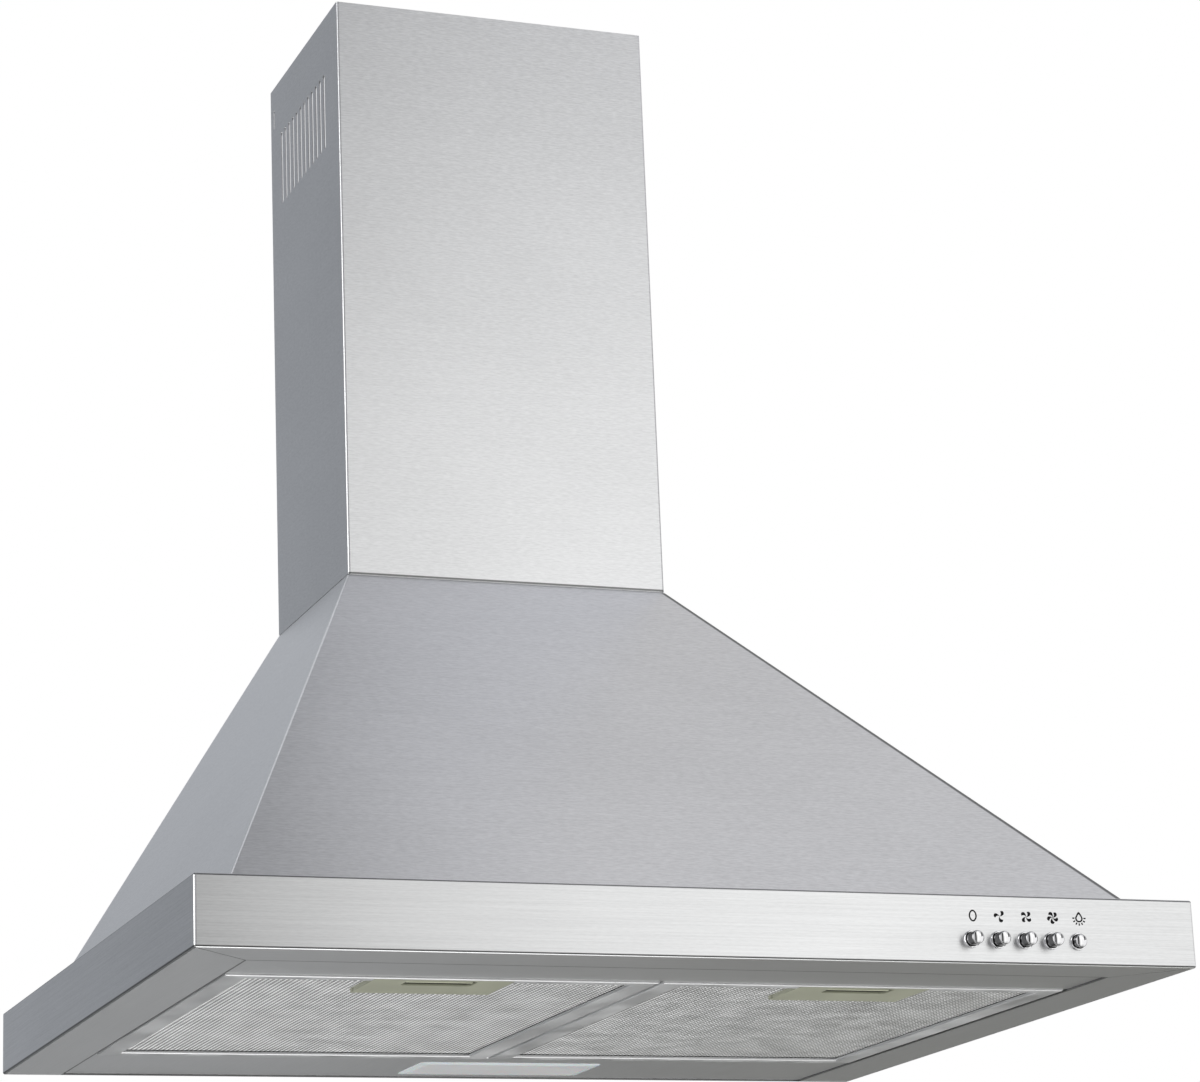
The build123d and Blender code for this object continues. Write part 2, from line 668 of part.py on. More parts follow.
# Side plates: each closes one end of the scroll around an inlet hole
inlet_edge = INLET_RADIUS + INLET_FLANGE
for side, name in ((-1, "blower_side_left"), (1, "blower_side_right")):
    with BuildPart() as blower_side:
        with BuildSketch(fan_plane(side * scroll_half)):
            make_face(scroll_outline(SCROLL_SHEET, FAN_DROP - SCROLL_SHEET))
        extrude(amount=side * SCROLL_SHEET)
        plate_span = (side * scroll_half, side * plate_outside)
        along_x((fan_y, fan_z), inlet_edge - INLET_LAP, plate_span, mode=Mode.SUBTRACT)
        if side > 0:
            with BuildSketch(fan_plane(scroll_half)):
                with PolarLocations(BRACKET_SCREW_CIRCLE, BRACKET_ARMS, start_angle=90):
                    Circle(screw_hole)
            extrude(amount=SCROLL_SHEET, mode=Mode.SUBTRACT)
    save(blower_side, name)

# Inlet rings: a flange on the inner face of each side plate, with a lip towards the wheel
with BuildPart() as inlet_rings:
    for side in (-1, 1):
        lip_span = (side * (scroll_half - INLET_LIP), side * scroll_half)
        along_x((fan_y, fan_z), inlet_edge, (side * (scroll_half - SCROLL_SHEET), side * scroll_half))
        along_x((fan_y, fan_z), INLET_RADIUS + SCROLL_SHEET, lip_span)
        along_x((fan_y, fan_z), INLET_RADIUS, lip_span, mode=Mode.SUBTRACT)
save(inlet_rings, "inlet_rings")

# Motor bracket: a ring with three arms across the right inlet
with BuildPart() as motor_bracket:
    with BuildSketch(fan_plane(plate_outside)):
        Circle(MOTOR_RADIUS + MOTOR_FLANGE)
        with PolarLocations(0, BRACKET_ARMS, start_angle=90):
            arm_length = BRACKET_SCREW_CIRCLE + BRACKET_ARM_END
            Rectangle(arm_length, BRACKET_ARM_WIDTH, align=(Align.MIN, Align.CENTER))
        Circle(MOTOR_RADIUS + BRACKET_BORE_GAP, mode=Mode.SUBTRACT)
        with PolarLocations(BRACKET_SCREW_CIRCLE, BRACKET_ARMS, start_angle=90):
            Circle(screw_hole, mode=Mode.SUBTRACT)
    extrude(amount=BRACKET_SHEET)
save(motor_bracket, "motor_bracket")

# Bracket screws, from outside through the arms into the side plate
with BuildPart() as bracket_screws:
    with BuildSketch(fan_plane(plate_outside + BRACKET_SHEET)):
        with PolarLocations(BRACKET_SCREW_CIRCLE, BRACKET_ARMS, start_angle=90):
            Circle(SCREW_HEAD_RADIUS)
    extrude(amount=SCREW_HEAD)
    with BuildSketch(fan_plane(scroll_half - SCREW_HEAD)):
        with PolarLocations(BRACKET_SCREW_CIRCLE, BRACKET_ARMS, start_angle=90):
            Circle(SCREW_RADIUS)
    extrude(amount=SCREW_HEAD + SCROLL_SHEET + BRACKET_SHEET)
save(bracket_screws, "bracket_screws")

# Motor: can and mounting flange, bored through, with a bearing seat at each end
bearing_spans = ((motor_start, motor_start + BEARING_WIDTH), (motor_end - BEARING_WIDTH, motor_end))
with BuildPart() as motor:
    along_x((fan_y, fan_z), MOTOR_RADIUS, (motor_start, motor_end))
    fillet(motor.edges().filter_by(GeomType.CIRCLE), BOX_ROUND)
    motor_seat = plate_outside + BRACKET_SHEET
    along_x((fan_y, fan_z), MOTOR_RADIUS + MOTOR_FLANGE, (motor_seat, motor_seat + MOTOR_FLANGE_SHEET))
    along_x((fan_y, fan_z), MOTOR_BORE_RADIUS, (motor_start, motor_end), mode=Mode.SUBTRACT)
    for span in bearing_spans:
        along_x((fan_y, fan_z), BEARING_RADIUS + BEARING_SEAT_GAP, span, mode=Mode.SUBTRACT)
save(motor, "motor")

with BuildPart() as motor_bearings:
    for span in bearing_spans:
        along_x((fan_y, fan_z), BEARING_RADIUS, span)
        along_x((fan_y, fan_z), SHAFT_RADIUS + SHAFT_FIT, span, mode=Mode.SUBTRACT)
save(motor_bearings, "motor_bearings")

# Shaft and wheel turn together: hub plate, blades on both faces of it, and a ring round each end
with BuildPart() as motor_shaft:
    along_x((fan_y, fan_z), SHAFT_RADIUS, (-HUB_LENGTH / 2 - SHAFT_STUB, motor_end + SHAFT_STUB))
save(motor_shaft, "motor_shaft")

with BuildPart() as impeller:
    along_x((fan_y, fan_z), WHEEL_RADIUS, (-WHEEL_PLATE / 2, WHEEL_PLATE / 2))
    along_x((fan_y, fan_z), HUB_RADIUS, (-HUB_LENGTH / 2, HUB_LENGTH / 2))
    along_x(
        (fan_y, fan_z),
        SHAFT_RADIUS + SHAFT_FIT,
        (-HUB_LENGTH / 2, HUB_LENGTH / 2),
        mode=Mode.SUBTRACT,
    )
save(impeller, "impeller")

ring_inside = WHEEL_WIDTH / 2 - WHEEL_PLATE
with BuildPart() as impeller_blades:
    for side in (-1, 1):
        with BuildSketch(fan_plane(side * WHEEL_PLATE / 2)):
            with PolarLocations(WHEEL_RADIUS - BLADE_DEPTH / 2, BLADE_COUNT):
                Rectangle(BLADE_DEPTH, BLADE_THICKNESS, rotation=BLADE_LEAN)
        extrude(amount=side * (ring_inside - WHEEL_PLATE / 2))
save(impeller_blades, "impeller_blades")

with BuildPart() as impeller_rings:
    for side in (-1, 1):
        ring_span = (side * ring_inside, side * WHEEL_WIDTH / 2)
        along_x((fan_y, fan_z), WHEEL_RADIUS, ring_span)
        along_x((fan_y, fan_z), WHEEL_RADIUS - BLADE_DEPTH, ring_span, mode=Mode.SUBTRACT)
save(impeller_rings, "impeller_rings")

# Electrical boxes on the back panel
box_z = rim_top + BOX_ABOVE_RIM
terminal_x = (BOX_FROM_CENTRE - TERMINAL_WIDTH / 2, BOX_FROM_CENTRE + TERMINAL_WIDTH / 2)
terminal_z = (box_z - TERMINAL_HEIGHT / 2, box_z + TERMINAL_HEIGHT / 2)
terminal_front = -SHEET - TERMINAL_DEPTH
with BuildPart() as terminal_box:
    block(terminal_x, (terminal_front, -SHEET), terminal_z)
    fillet(terminal_box.edges().filter_by(Axis.Y), BOX_ROUND)
    block(
        (terminal_x[0] + TERMINAL_WALL, terminal_x[1] - TERMINAL_WALL),
        (terminal_front, -SHEET - TERMINAL_WALL),
        (terminal_z[0] + TERMINAL_WALL, terminal_z[1] - TERMINAL_WALL),
        mode=Mode.SUBTRACT,
    )
save(terminal_box, "terminal_box")

with BuildPart() as terminal_cover:
    block(terminal_x, (terminal_front - TERMINAL_COVER, terminal_front), terminal_z)
    fillet(terminal_cover.edges().filter_by(Axis.Y), BOX_ROUND)
save(terminal_cover, "terminal_cover")

with BuildPart() as capacitor:
    block(
        (-BOX_FROM_CENTRE - CAPACITOR_WIDTH / 2, -BOX_FROM_CENTRE + CAPACITOR_WIDTH / 2),
        (-SHEET - CAPACITOR_DEPTH, -SHEET),
        (box_z - CAPACITOR_HEIGHT / 2, box_z + CAPACITOR_HEIGHT / 2),
    )
    fillet(capacitor.edges().filter_by(Axis.Y), BOX_ROUND)
save(capacitor, "capacitor")

# Cable gland through the cap, behind the collar
with BuildPart() as cable_gland:
    gland_place = (GLAND_X, -GLAND_FROM_WALL)
    upright(gland_place, GLAND_RADIUS, (cap_under - GLAND_TAIL, cap_top))
    with BuildSketch(Plane.XY.offset(cap_top)):
        with Locations(gland_place):
            RegularPolygon(GLAND_NUT_RADIUS, 6)
    extrude(amount=GLAND_NUT)
    bore_span = (cap_under - GLAND_TAIL, cap_top + GLAND_NUT)
    upright(gland_place, GLAND_BORE_RADIUS, bore_span, mode=Mode.SUBTRACT)
save(cable_gland, "cable_gland")

# Lamp: lens below the rear strip, box above it, socket and bulb inside
with BuildPart() as lamp_lens:
    bevel_top = panel_under - LENS_LIP + LENS_BEVEL
    with BuildSketch(Plane.XY.offset(panel_under)):
        with Locations((LENS_X, lens_y)):
            RectangleRounded(LENS_LENGTH, LENS_WIDTH, LENS_CORNER)
    extrude(amount=bevel_top - panel_under)
    with BuildSketch(Plane.XY.offset(bevel_top)):
        with Locations((LENS_X, lens_y)):
            RectangleRounded(LENS_LENGTH, LENS_WIDTH, LENS_CORNER)
    with BuildSketch(Plane.XY.offset(panel_under - LENS_LIP)):
        with Locations((LENS_X, lens_y)):
            RectangleRounded(2 * plug_half[0], 2 * plug_half[1], LENS_CORNER)
    loft(ruled=True)
    block(
        (LENS_X - plug_half[0], LENS_X + plug_half[0]),
        (lens_y - plug_half[1], lens_y + plug_half[1]),
        (panel_under, panel_top + LENS_PLUG),
    )
save(lamp_lens, "lamp_lens")

with BuildPart() as lamp_housing:
    box_x = (LENS_X - lamp_box_half_length, LENS_X + lamp_box_half_length)
    box_y = (lens_y - lamp_box_half_width, lens_y + lamp_box_half_width)
    box_top = panel_top + LAMP_BOX_HEIGHT
    block(box_x, box_y, (panel_top, box_top))
    fillet(lamp_housing.edges().filter_by(Axis.Z), BEND_RADIUS)
    block(
        (box_x[0] + SHEET, box_x[1] - SHEET),
        (box_y[0] + SHEET, box_y[1] - SHEET),
        (panel_top, box_top - SHEET),
        mode=Mode.SUBTRACT,
    )
save(lamp_housing, "lamp_housing")

socket_end = socket_start + SOCKET_LENGTH
with BuildPart() as lamp_socket:
    along_x((lens_y, lamp_z), SOCKET_RADIUS, (socket_start, socket_end))
    along_x(
        (lens_y, lamp_z),
        SOCKET_BORE_RADIUS,
        (socket_end - SOCKET_BORE_DEPTH, socket_end),
        mode=Mode.SUBTRACT,
    )
save(lamp_socket, "lamp_socket")

with BuildPart() as lamp_bulb:
    base_start = socket_end - BULB_BASE_LENGTH
    along_x((lens_y, lamp_z), BULB_BASE_RADIUS, (base_start, socket_end))
    glass_end = socket_end + BULB_LENGTH
    along_x((lens_y, lamp_z), BULB_RADIUS, (socket_end, glass_end - BULB_RADIUS))
    with Locations((glass_end - BULB_RADIUS, lens_y, lamp_z)):
        Sphere(BULB_RADIUS)
save(lamp_bulb, "lamp_bulb")

# Switch housing against the lip, with a guide bore for each button, and its rear cover
switch_span_z = (button_z - SWITCH_HALF_HEIGHT, button_z + SWITCH_HALF_HEIGHT)
screw_ends = (switch_left + SWITCH_END_BLOCK / 2, switch_right - SWITCH_END_BLOCK / 2)
with BuildPart() as switch_housing:
    block((switch_left, switch_right), (lip_inside, switch_rear), switch_span_z)
    block(
        (switch_left + SWITCH_END_BLOCK, switch_right - SWITCH_END_BLOCK),
        (lip_inside + SWITCH_WALL, switch_rear),
        (switch_span_z[0] + SWITCH_WALL, switch_span_z[1] - SWITCH_WALL),
        mode=Mode.SUBTRACT,
    )
    for index in range(BUTTON_COUNT):
        along_y(
            (button_x(index), button_z),
            BUTTON_RADIUS + GUIDE_CLEARANCE,
            (lip_inside, lip_inside + SWITCH_WALL),
            mode=Mode.SUBTRACT,
        )
    for x in screw_ends:
        along_y((x, button_z), screw_hole, (switch_rear - 2 * SCREW_TIP, switch_rear), mode=Mode.SUBTRACT)
save(switch_housing, "switch_housing")

cover_rear = switch_rear + SWITCH_COVER
with BuildPart() as switch_cover:
    block((switch_left, switch_right), (switch_rear, cover_rear), switch_span_z)
    for index in range(BUTTON_COUNT):
        along_y(
            (button_x(index), button_z),
            BUTTON_TAIL_RADIUS + GUIDE_CLEARANCE,
            (switch_rear, cover_rear),
            mode=Mode.SUBTRACT,
        )
    for x in screw_ends:
        along_y((x, button_z), screw_hole, (switch_rear, cover_rear), mode=Mode.SUBTRACT)
save(switch_cover, "switch_cover")

with BuildPart() as switch_screws:
    for x in screw_ends:
        along_y((x, button_z), SCREW_HEAD_RADIUS, (cover_rear, cover_rear + SCREW_HEAD))
        along_y((x, button_z), SCREW_RADIUS, (switch_rear - SCREW_TIP, cover_rear))
save(switch_screws, "switch_screws")

# Bezels: a ring with a neck through each hole in the lip
with BuildPart() as button_bezels:
    for index in range(BUTTON_COUNT):
        place = (button_x(index), button_z)
        along_y(place, BEZEL_RADIUS, (-HOOD_DEPTH - BEZEL_THICKNESS, -HOOD_DEPTH))
    fillet(button_bezels.edges().group_by(Axis.Y)[0], BEZEL_ROUND)
    for index in range(BUTTON_COUNT):
        place = (button_x(index), button_z)
        along_y(place, BEZEL_NECK_RADIUS, (-HOOD_DEPTH, lip_inside))
        bore = BUTTON_RADIUS + BEZEL_BORE_GAP
        along_y(place, bore, (-HOOD_DEPTH - BEZEL_THICKNESS, lip_inside), mode=Mode.SUBTRACT)
save(button_bezels, "button_bezels")

# Buttons and their springs. The light button is stored pushed in.
button_names = ("off", "speed_1", "speed_2", "speed_3", "light")
for index, name in enumerate(button_names):
    pushed = BUTTON_TRAVEL if index == LIGHT_BUTTON else 0.0
    place = (button_x(index), button_z)
    collar_front = collar_stop + pushed
    collar_rear = collar_front + BUTTON_COLLAR
    with BuildPart() as button:
        head_front = -HOOD_DEPTH - BUTTON_OUT + pushed
        along_y(place, BUTTON_RADIUS, (head_front, collar_front))
        with Locations((place[0], head_front + BUTTON_DOME, place[1])):
            Sphere(BUTTON_DOME, mode=Mode.INTERSECT)
        fillet(button.edges().group_by(Axis.Y)[0], BUTTON_ROUND)
        along_y(place, BUTTON_COLLAR_RADIUS, (collar_front, collar_rear))
        along_y(place, BUTTON_TAIL_RADIUS, (collar_rear, cover_rear + BUTTON_TAIL_END + pushed))
    save(button, f"button_{name}")
    spring = coil_spring(
        place[0],
        (collar_rear, switch_rear),
        place[1],
        BUTTON_SPRING_RADIUS,
        BUTTON_SPRING_WIRE,
        BUTTON_SPRING_TURNS,
    )
    save(spring, f"button_spring_{name}")


# Grease filters, one each side of the middle
def filter_frame(middle):
    """Folded frame with a groove for the mesh, rear hooks, a seat for the handle and a notch."""
    x_span = (middle - filter_half, middle + filter_half)
    window_x = (x_span[0] + FILTER_SIDE_BORDER, x_span[1] - FILTER_SIDE_BORDER)
    window_y = (filter_front + FILTER_BORDER, filter_rear - FILTER_BORDER)
    with BuildPart() as frame:
        block(x_span, (filter_front, filter_rear), (filter_under, filter_top))
        block(window_x, window_y, (filter_under, filter_top), mode=Mode.SUBTRACT)
        fillet(frame.edges().group_by(Axis.Z)[0], FILTER_EDGE_ROUND)
        block(
            (window_x[0] - GROOVE_DEPTH, window_x[1] + GROOVE_DEPTH),
            (window_y[0] - GROOVE_DEPTH, window_y[1] + GROOVE_DEPTH),
            (mesh_under - MESH_CLEARANCE, mesh_under + MESH_THICKNESS + MESH_CLEARANCE),
            mode=Mode.SUBTRACT,
        )
        block(
            (middle - half_handle, middle + half_handle),
            (handle_front, window_y[0]),
            (filter_under, filter_top),
            mode=Mode.SUBTRACT,
        )
        block(
            (middle - notch_half, middle + notch_half),
            (filter_front, handle_front),
            (notch_floor, filter_top),
            mode=Mode.SUBTRACT,
        )
        hook_under = hinge_z + BEAD_RADIUS + HOOK_CLEARANCE
        for side in (-1, 1):
            hook_middle = middle + side * HOOK_SPREAD / 2
            block(
                (hook_middle - HOOK_WIDTH / 2, hook_middle + HOOK_WIDTH / 2),
                (filter_rear - GROOVE_DEPTH, hinge_y + HOOK_REACH),
                (hook_under, hook_under + HOOK_THICKNESS),
            )
    return frame


def filter_mesh(middle):
    """Expanded-metal pad with diamond gaps, cut away round the latch handle."""
    seat = GROOVE_DEPTH - MESH_CLEARANCE
    half_x = filter_half - FILTER_SIDE_BORDER + seat
    span_y = (filter_front + FILTER_BORDER - seat, filter_rear - FILTER_BORDER + seat)
    centre = (middle, (span_y[0] + span_y[1]) / 2)
    columns = int((2 * filter_half - 2 * FILTER_SIDE_BORDER) // MESH_PITCH)
    rows = int((filter_rear - filter_front - 2 * FILTER_BORDER) // MESH_PITCH)
    with BuildPart() as mesh:
        with BuildSketch(Plane.XY.offset(mesh_under)):
            with Locations(centre):
                Rectangle(2 * half_x, span_y[1] - span_y[0])
                with GridLocations(MESH_PITCH, MESH_PITCH, columns, rows):
                    RegularPolygon(MESH_GAP / 2, 4, mode=Mode.SUBTRACT)
                with GridLocations(MESH_PITCH, MESH_PITCH, columns - 1, rows - 1):
                    RegularPolygon(MESH_GAP / 2, 4, mode=Mode.SUBTRACT)
        extrude(amount=MESH_THICKNESS)
        block(
            (middle - half_handle, middle + half_handle),
            (span_y[0], handle_rear + HANDLE_CLEARANCE),
            (mesh_under, mesh_under + MESH_THICKNESS),
            mode=Mode.SUBTRACT,
        )
    return mesh


def latch_handle(middle):
    """Plastic plate with a finger pocket below and a channel for tongue and catch above."""
    with BuildPart() as handle:
        block(
            (middle - HANDLE_WIDTH / 2, middle + HANDLE_WIDTH / 2),
            (handle_front, handle_rear),
            (filter_under, filter_under + HANDLE_THICKNESS),
        )
        fillet(handle.edges().filter_by(Axis.Z).group_by(Axis.Y)[-1], HANDLE_CORNER)
        with BuildSketch(Plane.XY.offset(filter_under)):
            with Locations((middle, (pocket_front + pocket_rear) / 2)):
                RectangleRounded(POCKET_WIDTH, POCKET_DEPTH, POCKET_CORNER)
        extrude(amount=channel_floor - filter_under, mode=Mode.SUBTRACT)
        channel_half = TONGUE_WIDTH / 2 + SLIDE_CLEARANCE
        block(
            (middle - channel_half, middle + channel_half),
            (handle_front, channel_rear),
            (channel_floor, filter_under + HANDLE_THICKNESS),
            mode=Mode.SUBTRACT,
        )
        block(
            (middle - channel_half, middle + channel_half),
            (handle_front, catch_nose + NOTCH_CLEARANCE),
            (notch_floor, channel_floor),
            mode=Mode.SUBTRACT,
        )
    return handle


def latch_slider(middle):
    """Flat tongue that reaches over the catch, with a finger lip in the pocket."""
    with BuildPart() as slider:
        block(
            (middle - TONGUE_WIDTH / 2, middle + TONGUE_WIDTH / 2),
            (tongue_front, tongue_rear),
            (tongue_under, tongue_top),
        )
        lip_half = POCKET_WIDTH / 2 - LIP_SIDE_GAP
        block(
            (middle - lip_half, middle + lip_half),
            (lip_front, lip_rear),
            (filter_under + LIP_RECESS, channel_floor - SLIDE_CLEARANCE),
        )
        block(
            (middle - TONGUE_WIDTH / 2, middle + TONGUE_WIDTH / 2),
            (lip_front, lip_rear),
            (channel_floor - SLIDE_CLEARANCE, tongue_under),
        )
    return slider


def filter_catch(middle):
    """Spring leaf on the front strip, bent up and over the frame's edge, under the tongue."""
    x_span = (middle - CATCH_WIDTH / 2, middle + CATCH_WIDTH / 2)
    riser = strip_front - CATCH_SETBACK
    with BuildPart() as catch:
        block(x_span, (riser - CATCH_FOOT, riser), (panel_top, panel_top + CATCH_SHEET))
        block(x_span, (riser - CATCH_SHEET, riser), (panel_top, catch_top))
        block(x_span, (riser - CATCH_SHEET, catch_nose), (catch_top - CATCH_SHEET, catch_top))
    return catch


for side, name in ((-1, "left"), (1, "right")):
    middle = side * filter_middle
    save(filter_frame(middle), f"filter_frame_{name}")
    save(filter_mesh(middle), f"filter_mesh_{name}")
    save(latch_handle(middle), f"latch_handle_{name}")
    save(latch_slider(middle), f"latch_slider_{name}")
    save(filter_catch(middle), f"filter_catch_{name}")
    spring = coil_spring(
        middle,
        (tongue_rear, channel_rear),
        (tongue_under + tongue_top) / 2,
        LATCH_SPRING_RADIUS,
        LATCH_SPRING_WIRE,
        LATCH_SPRING_TURNS,
    )
    save(spring, f"latch_spring_{name}")
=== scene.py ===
import json
import math

import bpy
import numpy as np
from bpy.props import FloatProperty, FloatVectorProperty, IntProperty, PointerProperty
from mathutils import Matrix, Vector


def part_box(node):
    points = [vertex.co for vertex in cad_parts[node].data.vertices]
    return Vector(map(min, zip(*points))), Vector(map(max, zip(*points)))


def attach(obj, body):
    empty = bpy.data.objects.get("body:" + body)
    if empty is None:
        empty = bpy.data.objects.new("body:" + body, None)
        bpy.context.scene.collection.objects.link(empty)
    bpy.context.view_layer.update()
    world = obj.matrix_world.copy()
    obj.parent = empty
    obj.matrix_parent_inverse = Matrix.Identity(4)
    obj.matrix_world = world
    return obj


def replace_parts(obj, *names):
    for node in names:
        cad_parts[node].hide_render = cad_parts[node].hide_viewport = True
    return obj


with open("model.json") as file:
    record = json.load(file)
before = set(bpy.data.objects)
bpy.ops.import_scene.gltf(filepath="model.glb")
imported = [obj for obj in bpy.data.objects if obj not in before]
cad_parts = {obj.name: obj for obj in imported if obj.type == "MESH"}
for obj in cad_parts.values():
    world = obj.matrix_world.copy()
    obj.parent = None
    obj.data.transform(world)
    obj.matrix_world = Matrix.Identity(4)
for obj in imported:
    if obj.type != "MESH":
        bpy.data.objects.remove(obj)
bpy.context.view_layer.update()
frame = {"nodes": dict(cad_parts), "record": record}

bl_info = {
    "name": "Wall range hood looks",
    "version": (1, 0, 0),
    "blender": (4, 5, 0),
    "location": "View3D > Sidebar > Range hood",
    "description": "Finishes, filter mesh, pictograms and stage of a wall mounted range hood",
    "category": "Object",
}

PHOTO_WIDTH = 1200
NOISE_SPAN = (0.3, 0.7)
LEVEL_FACE = 0.7
FLOW_MARK = (0.02, 0.03, 0.02)
# Painted shade on the button barrels: half width of the band and how much it darkens
BARREL_BAND = 0.0004
BARREL_SHADE = 0.75

NODES = frame["nodes"]
RECORD = frame["record"]
NODE_SLOT = {row["node"]: row["material_slot"] for row in RECORD["subparts"]}
BUTTONS = ("off", "speed_1", "speed_2", "speed_3", "light")


def color_property(name, description, default):
    """A colour setting with the given default."""
    return FloatVectorProperty(
        name=name, description=description, default=default, subtype="COLOR", size=3, min=0.0, max=1.0
    )


def number_property(**options):
    """A maker of number settings that share these options."""

    def make(name, description, default):
        return FloatProperty(name=name, description=description, default=default, **options)

    return make


length_property = number_property(unit="LENGTH", precision=5)
factor_property = number_property(subtype="FACTOR", min=0.0, max=1.0)
angle_property = number_property(subtype="ANGLE", unit="ROTATION")
power_property = number_property(unit="POWER")
positive_property = number_property(min=0.0)


class HoodMetalSettings(bpy.types.PropertyGroup):
    """Colours and grain of the sheet metal."""

    steel: color_property("Stainless", "Colour of the brushed stainless sheet", (0.76, 0.765, 0.77))
    steel_roughness: factor_property("Stainless roughness", "Mean roughness of the brushed sheet", 0.30)
    streak: factor_property("Streaks", "How much the long brush streaks change the shade", 0.14)
    grain: factor_property("Grain", "How much the short brush grain changes the shade", 0.24)
    directed: factor_property("Directed gloss", "How much the brushing stretches reflections upwards", 0.6)
    streak_length: length_property("Streak length", "Length of a long brush streak", 0.09)
    streak_height: length_property("Streak height", "Height of a long brush streak", 0.0007)
    grain_length: length_property("Grain length", "Length of a short brush mark", 0.0048)
    grain_height: length_property("Grain height", "Height of a short brush mark", 0.0007)
    flange: length_property("Flange", "Width of the rim's turned in flange", 0.039)
    # Painted shade lines, with dark joints at the mitres: half width and darkness of the bands at folds,
    # mitres and the chimney's foot
    seam: length_property("Seam", "Half width of the shaded line at folds and mitres", 0.0006)
    seam_tone: factor_property("Seam tone", "Shade of the line at folds and mitres", 0.25)
    level_marks: factor_property("Level marks", "Strength of the brush marks on the rim's level faces", 0.45)
    rim_relief: length_property("Rim relief", "Depth of the brush marks on the rim", 0.000006)
    sheet_relief: length_property("Sheet relief", "Depth of the brush marks on the large sheets", 0.000016)
    zinc: color_property("Galvanised", "Colour of the galvanised inner sheets", (0.60, 0.62, 0.64))
    spangle: length_property("Spangle", "Width of a zinc crystal on the galvanised sheet", 0.009)
    aluminium: color_property("Aluminium", "Colour of the filter frames", (0.70, 0.705, 0.71))
    foil: color_property("Foil", "Colour of the bright filter mesh", (0.93, 0.935, 0.935))
    chrome: color_property("Chrome", "Colour of the buttons and their rings", (0.86, 0.86, 0.87))
    head: length_property("Head", "Radius of a button's head", 0.0039)
    dome: length_property("Dome", "Radius of the lean that rounds the button heads in reflections", 0.011)
    spring: color_property("Spring steel", "Colour of springs and catches", (0.46, 0.47, 0.48))
    screw: color_property("Screws", "Colour of zinc plated screws and bearings", (0.68, 0.68, 0.65))


class HoodPlasticSettings(bpy.types.PropertyGroup):
    """Colours of plastics, paint, glass and print."""

    handle: color_property("Handle", "Colour of the filter handles", (0.345, 0.354, 0.268))
    lens: color_property("Lens", "Colour of the milky lamp lens", (0.95, 0.955, 0.96))
    lens_plate: factor_property("Lens plate", "Shade of the lens inside its rim", 0.76)
    lens_border: length_property("Lens border", "Width of the lens's rim", 0.0052)
    dark: color_property("Dark plastic", "Colour of the collar, flaps and boxes", (0.022, 0.023, 0.025))
    grey: color_property("Grey plastic", "Colour of the fan wheel and covers", (0.16, 0.165, 0.17))
    white: color_property("White plastic", "Colour of the capacitor and lamp socket", (0.72, 0.72, 0.69))
    motor: color_property("Motor paint", "Colour of the painted motor", (0.045, 0.048, 0.052))
    bulb: color_property("Bulb glass", "Colour of the frosted bulb", (0.92, 0.92, 0.89))
    ink: color_property("Ink", "Colour of the printed pictograms", (0.012, 0.012, 0.013))


class HoodFilterSettings(bpy.types.PropertyGroup):
    """Sizes of the expanded metal in the grease filters."""

    long_way: length_property("Long way", "Pitch of the diamonds along the width", 0.0060)
    short_way: length_property("Short way", "Pitch of the diamonds along the depth", 0.0040)
    strand_width: length_property("Strand width", "Width of one strand", 0.0009)
    strand_sheet: length_property("Strand sheet", "Thickness of one strand", 0.0003)
    strand_tilt: angle_property("Strand tilt", "Turn of a strand out of the mesh plane", math.radians(-28))
    # Painted sheen: how much the strands' colour drops between the bonds
    bond: factor_property("Bonds", "How much duller a strand is between the bonds", 0.68)
    # Painted shade: the share of the aluminium colour left on the pad behind the front layer
    foil_tone: factor_property("Foil tone", "Shade of the pad behind the front layer", 0.55)
    foil_sheet: length_property("Foil sheet", "Thickness of the pad behind the front layer", 0.0004)
    foil_wave: length_property("Foil wave", "Depth of the ripples in the pad", 0.0007)
    foil_pitch: length_property("Foil pitch", "Pitch of the ripples in the pad", 0.006)
    gap: length_property("Gap", "Space left round the latch handle", 0.0003)
    corner: length_property("Corner", "Radius of the handle's rounding that the fillers close", 0.006)


class HoodPrintSettings(bpy.types.PropertyGroup):
    """Sizes of the pictograms over the buttons."""

    rise: length_property("Rise", "Height of the pictograms over the button axis", 0.0137)
    shift: length_property("Shift", "Distance of the pictograms to the right of the button axis", 0.0016)
    film: length_property("Film", "Thickness of the print", 0.00006)
    stroke: length_property("Stroke", "Width of a printed line", 0.0009)
    oval_width: length_property("Oval width", "Width of the off sign", 0.0051)
    oval_height: length_property("Oval height", "Height of the off sign", 0.0069)
    fan_radius: length_property("Fan radius", "Reach of a fan blade from its hub", 0.0037)
    blade_spread: angle_property("Blade spread", "Angle that the tip of a fan blade spans", 0.95)
    first_blade: angle_property("First blade", "Angle at which the first fan blade leaves its hub", 0.17)
    bulb_radius: length_property("Bulb radius", "Radius of the lamp sign", 0.0024)
    ray_count: IntProperty(name="Rays", description="Rays round the lamp sign", default=7, min=1)


class HoodStageSettings(bpy.types.PropertyGroup):
    """Camera, lights and floor."""

    camera_place: FloatVectorProperty(
        name="Camera place",
        description="Place of the camera",
        default=(-0.78164, -2.38311, -0.52442),
        subtype="TRANSLATION",
        unit="LENGTH",
        size=3,
    )
    heading: angle_property("Heading", "Turn of the view to the right of the wall's normal", 0.3651)
    pitch: angle_property("Pitch", "Rise of the view over the horizon", 0.2715)
    roll: angle_property("Roll", "Turn of the picture about the view", -0.0398)
    focal: positive_property("Focal pixels", "Focal length in pixels of the photograph", 3693.47)
    floor_drop: length_property("Floor drop", "Depth of the floor below the rim", 2.4)
    room_light: positive_property("Room light", "Strength of the room on matt surfaces", 0.85)
    key_power: power_property("Key power", "Power of the large softbox", 26.0)
    edge_power: power_property("Edge power", "Power of the tall softbox at the left", 22.0)


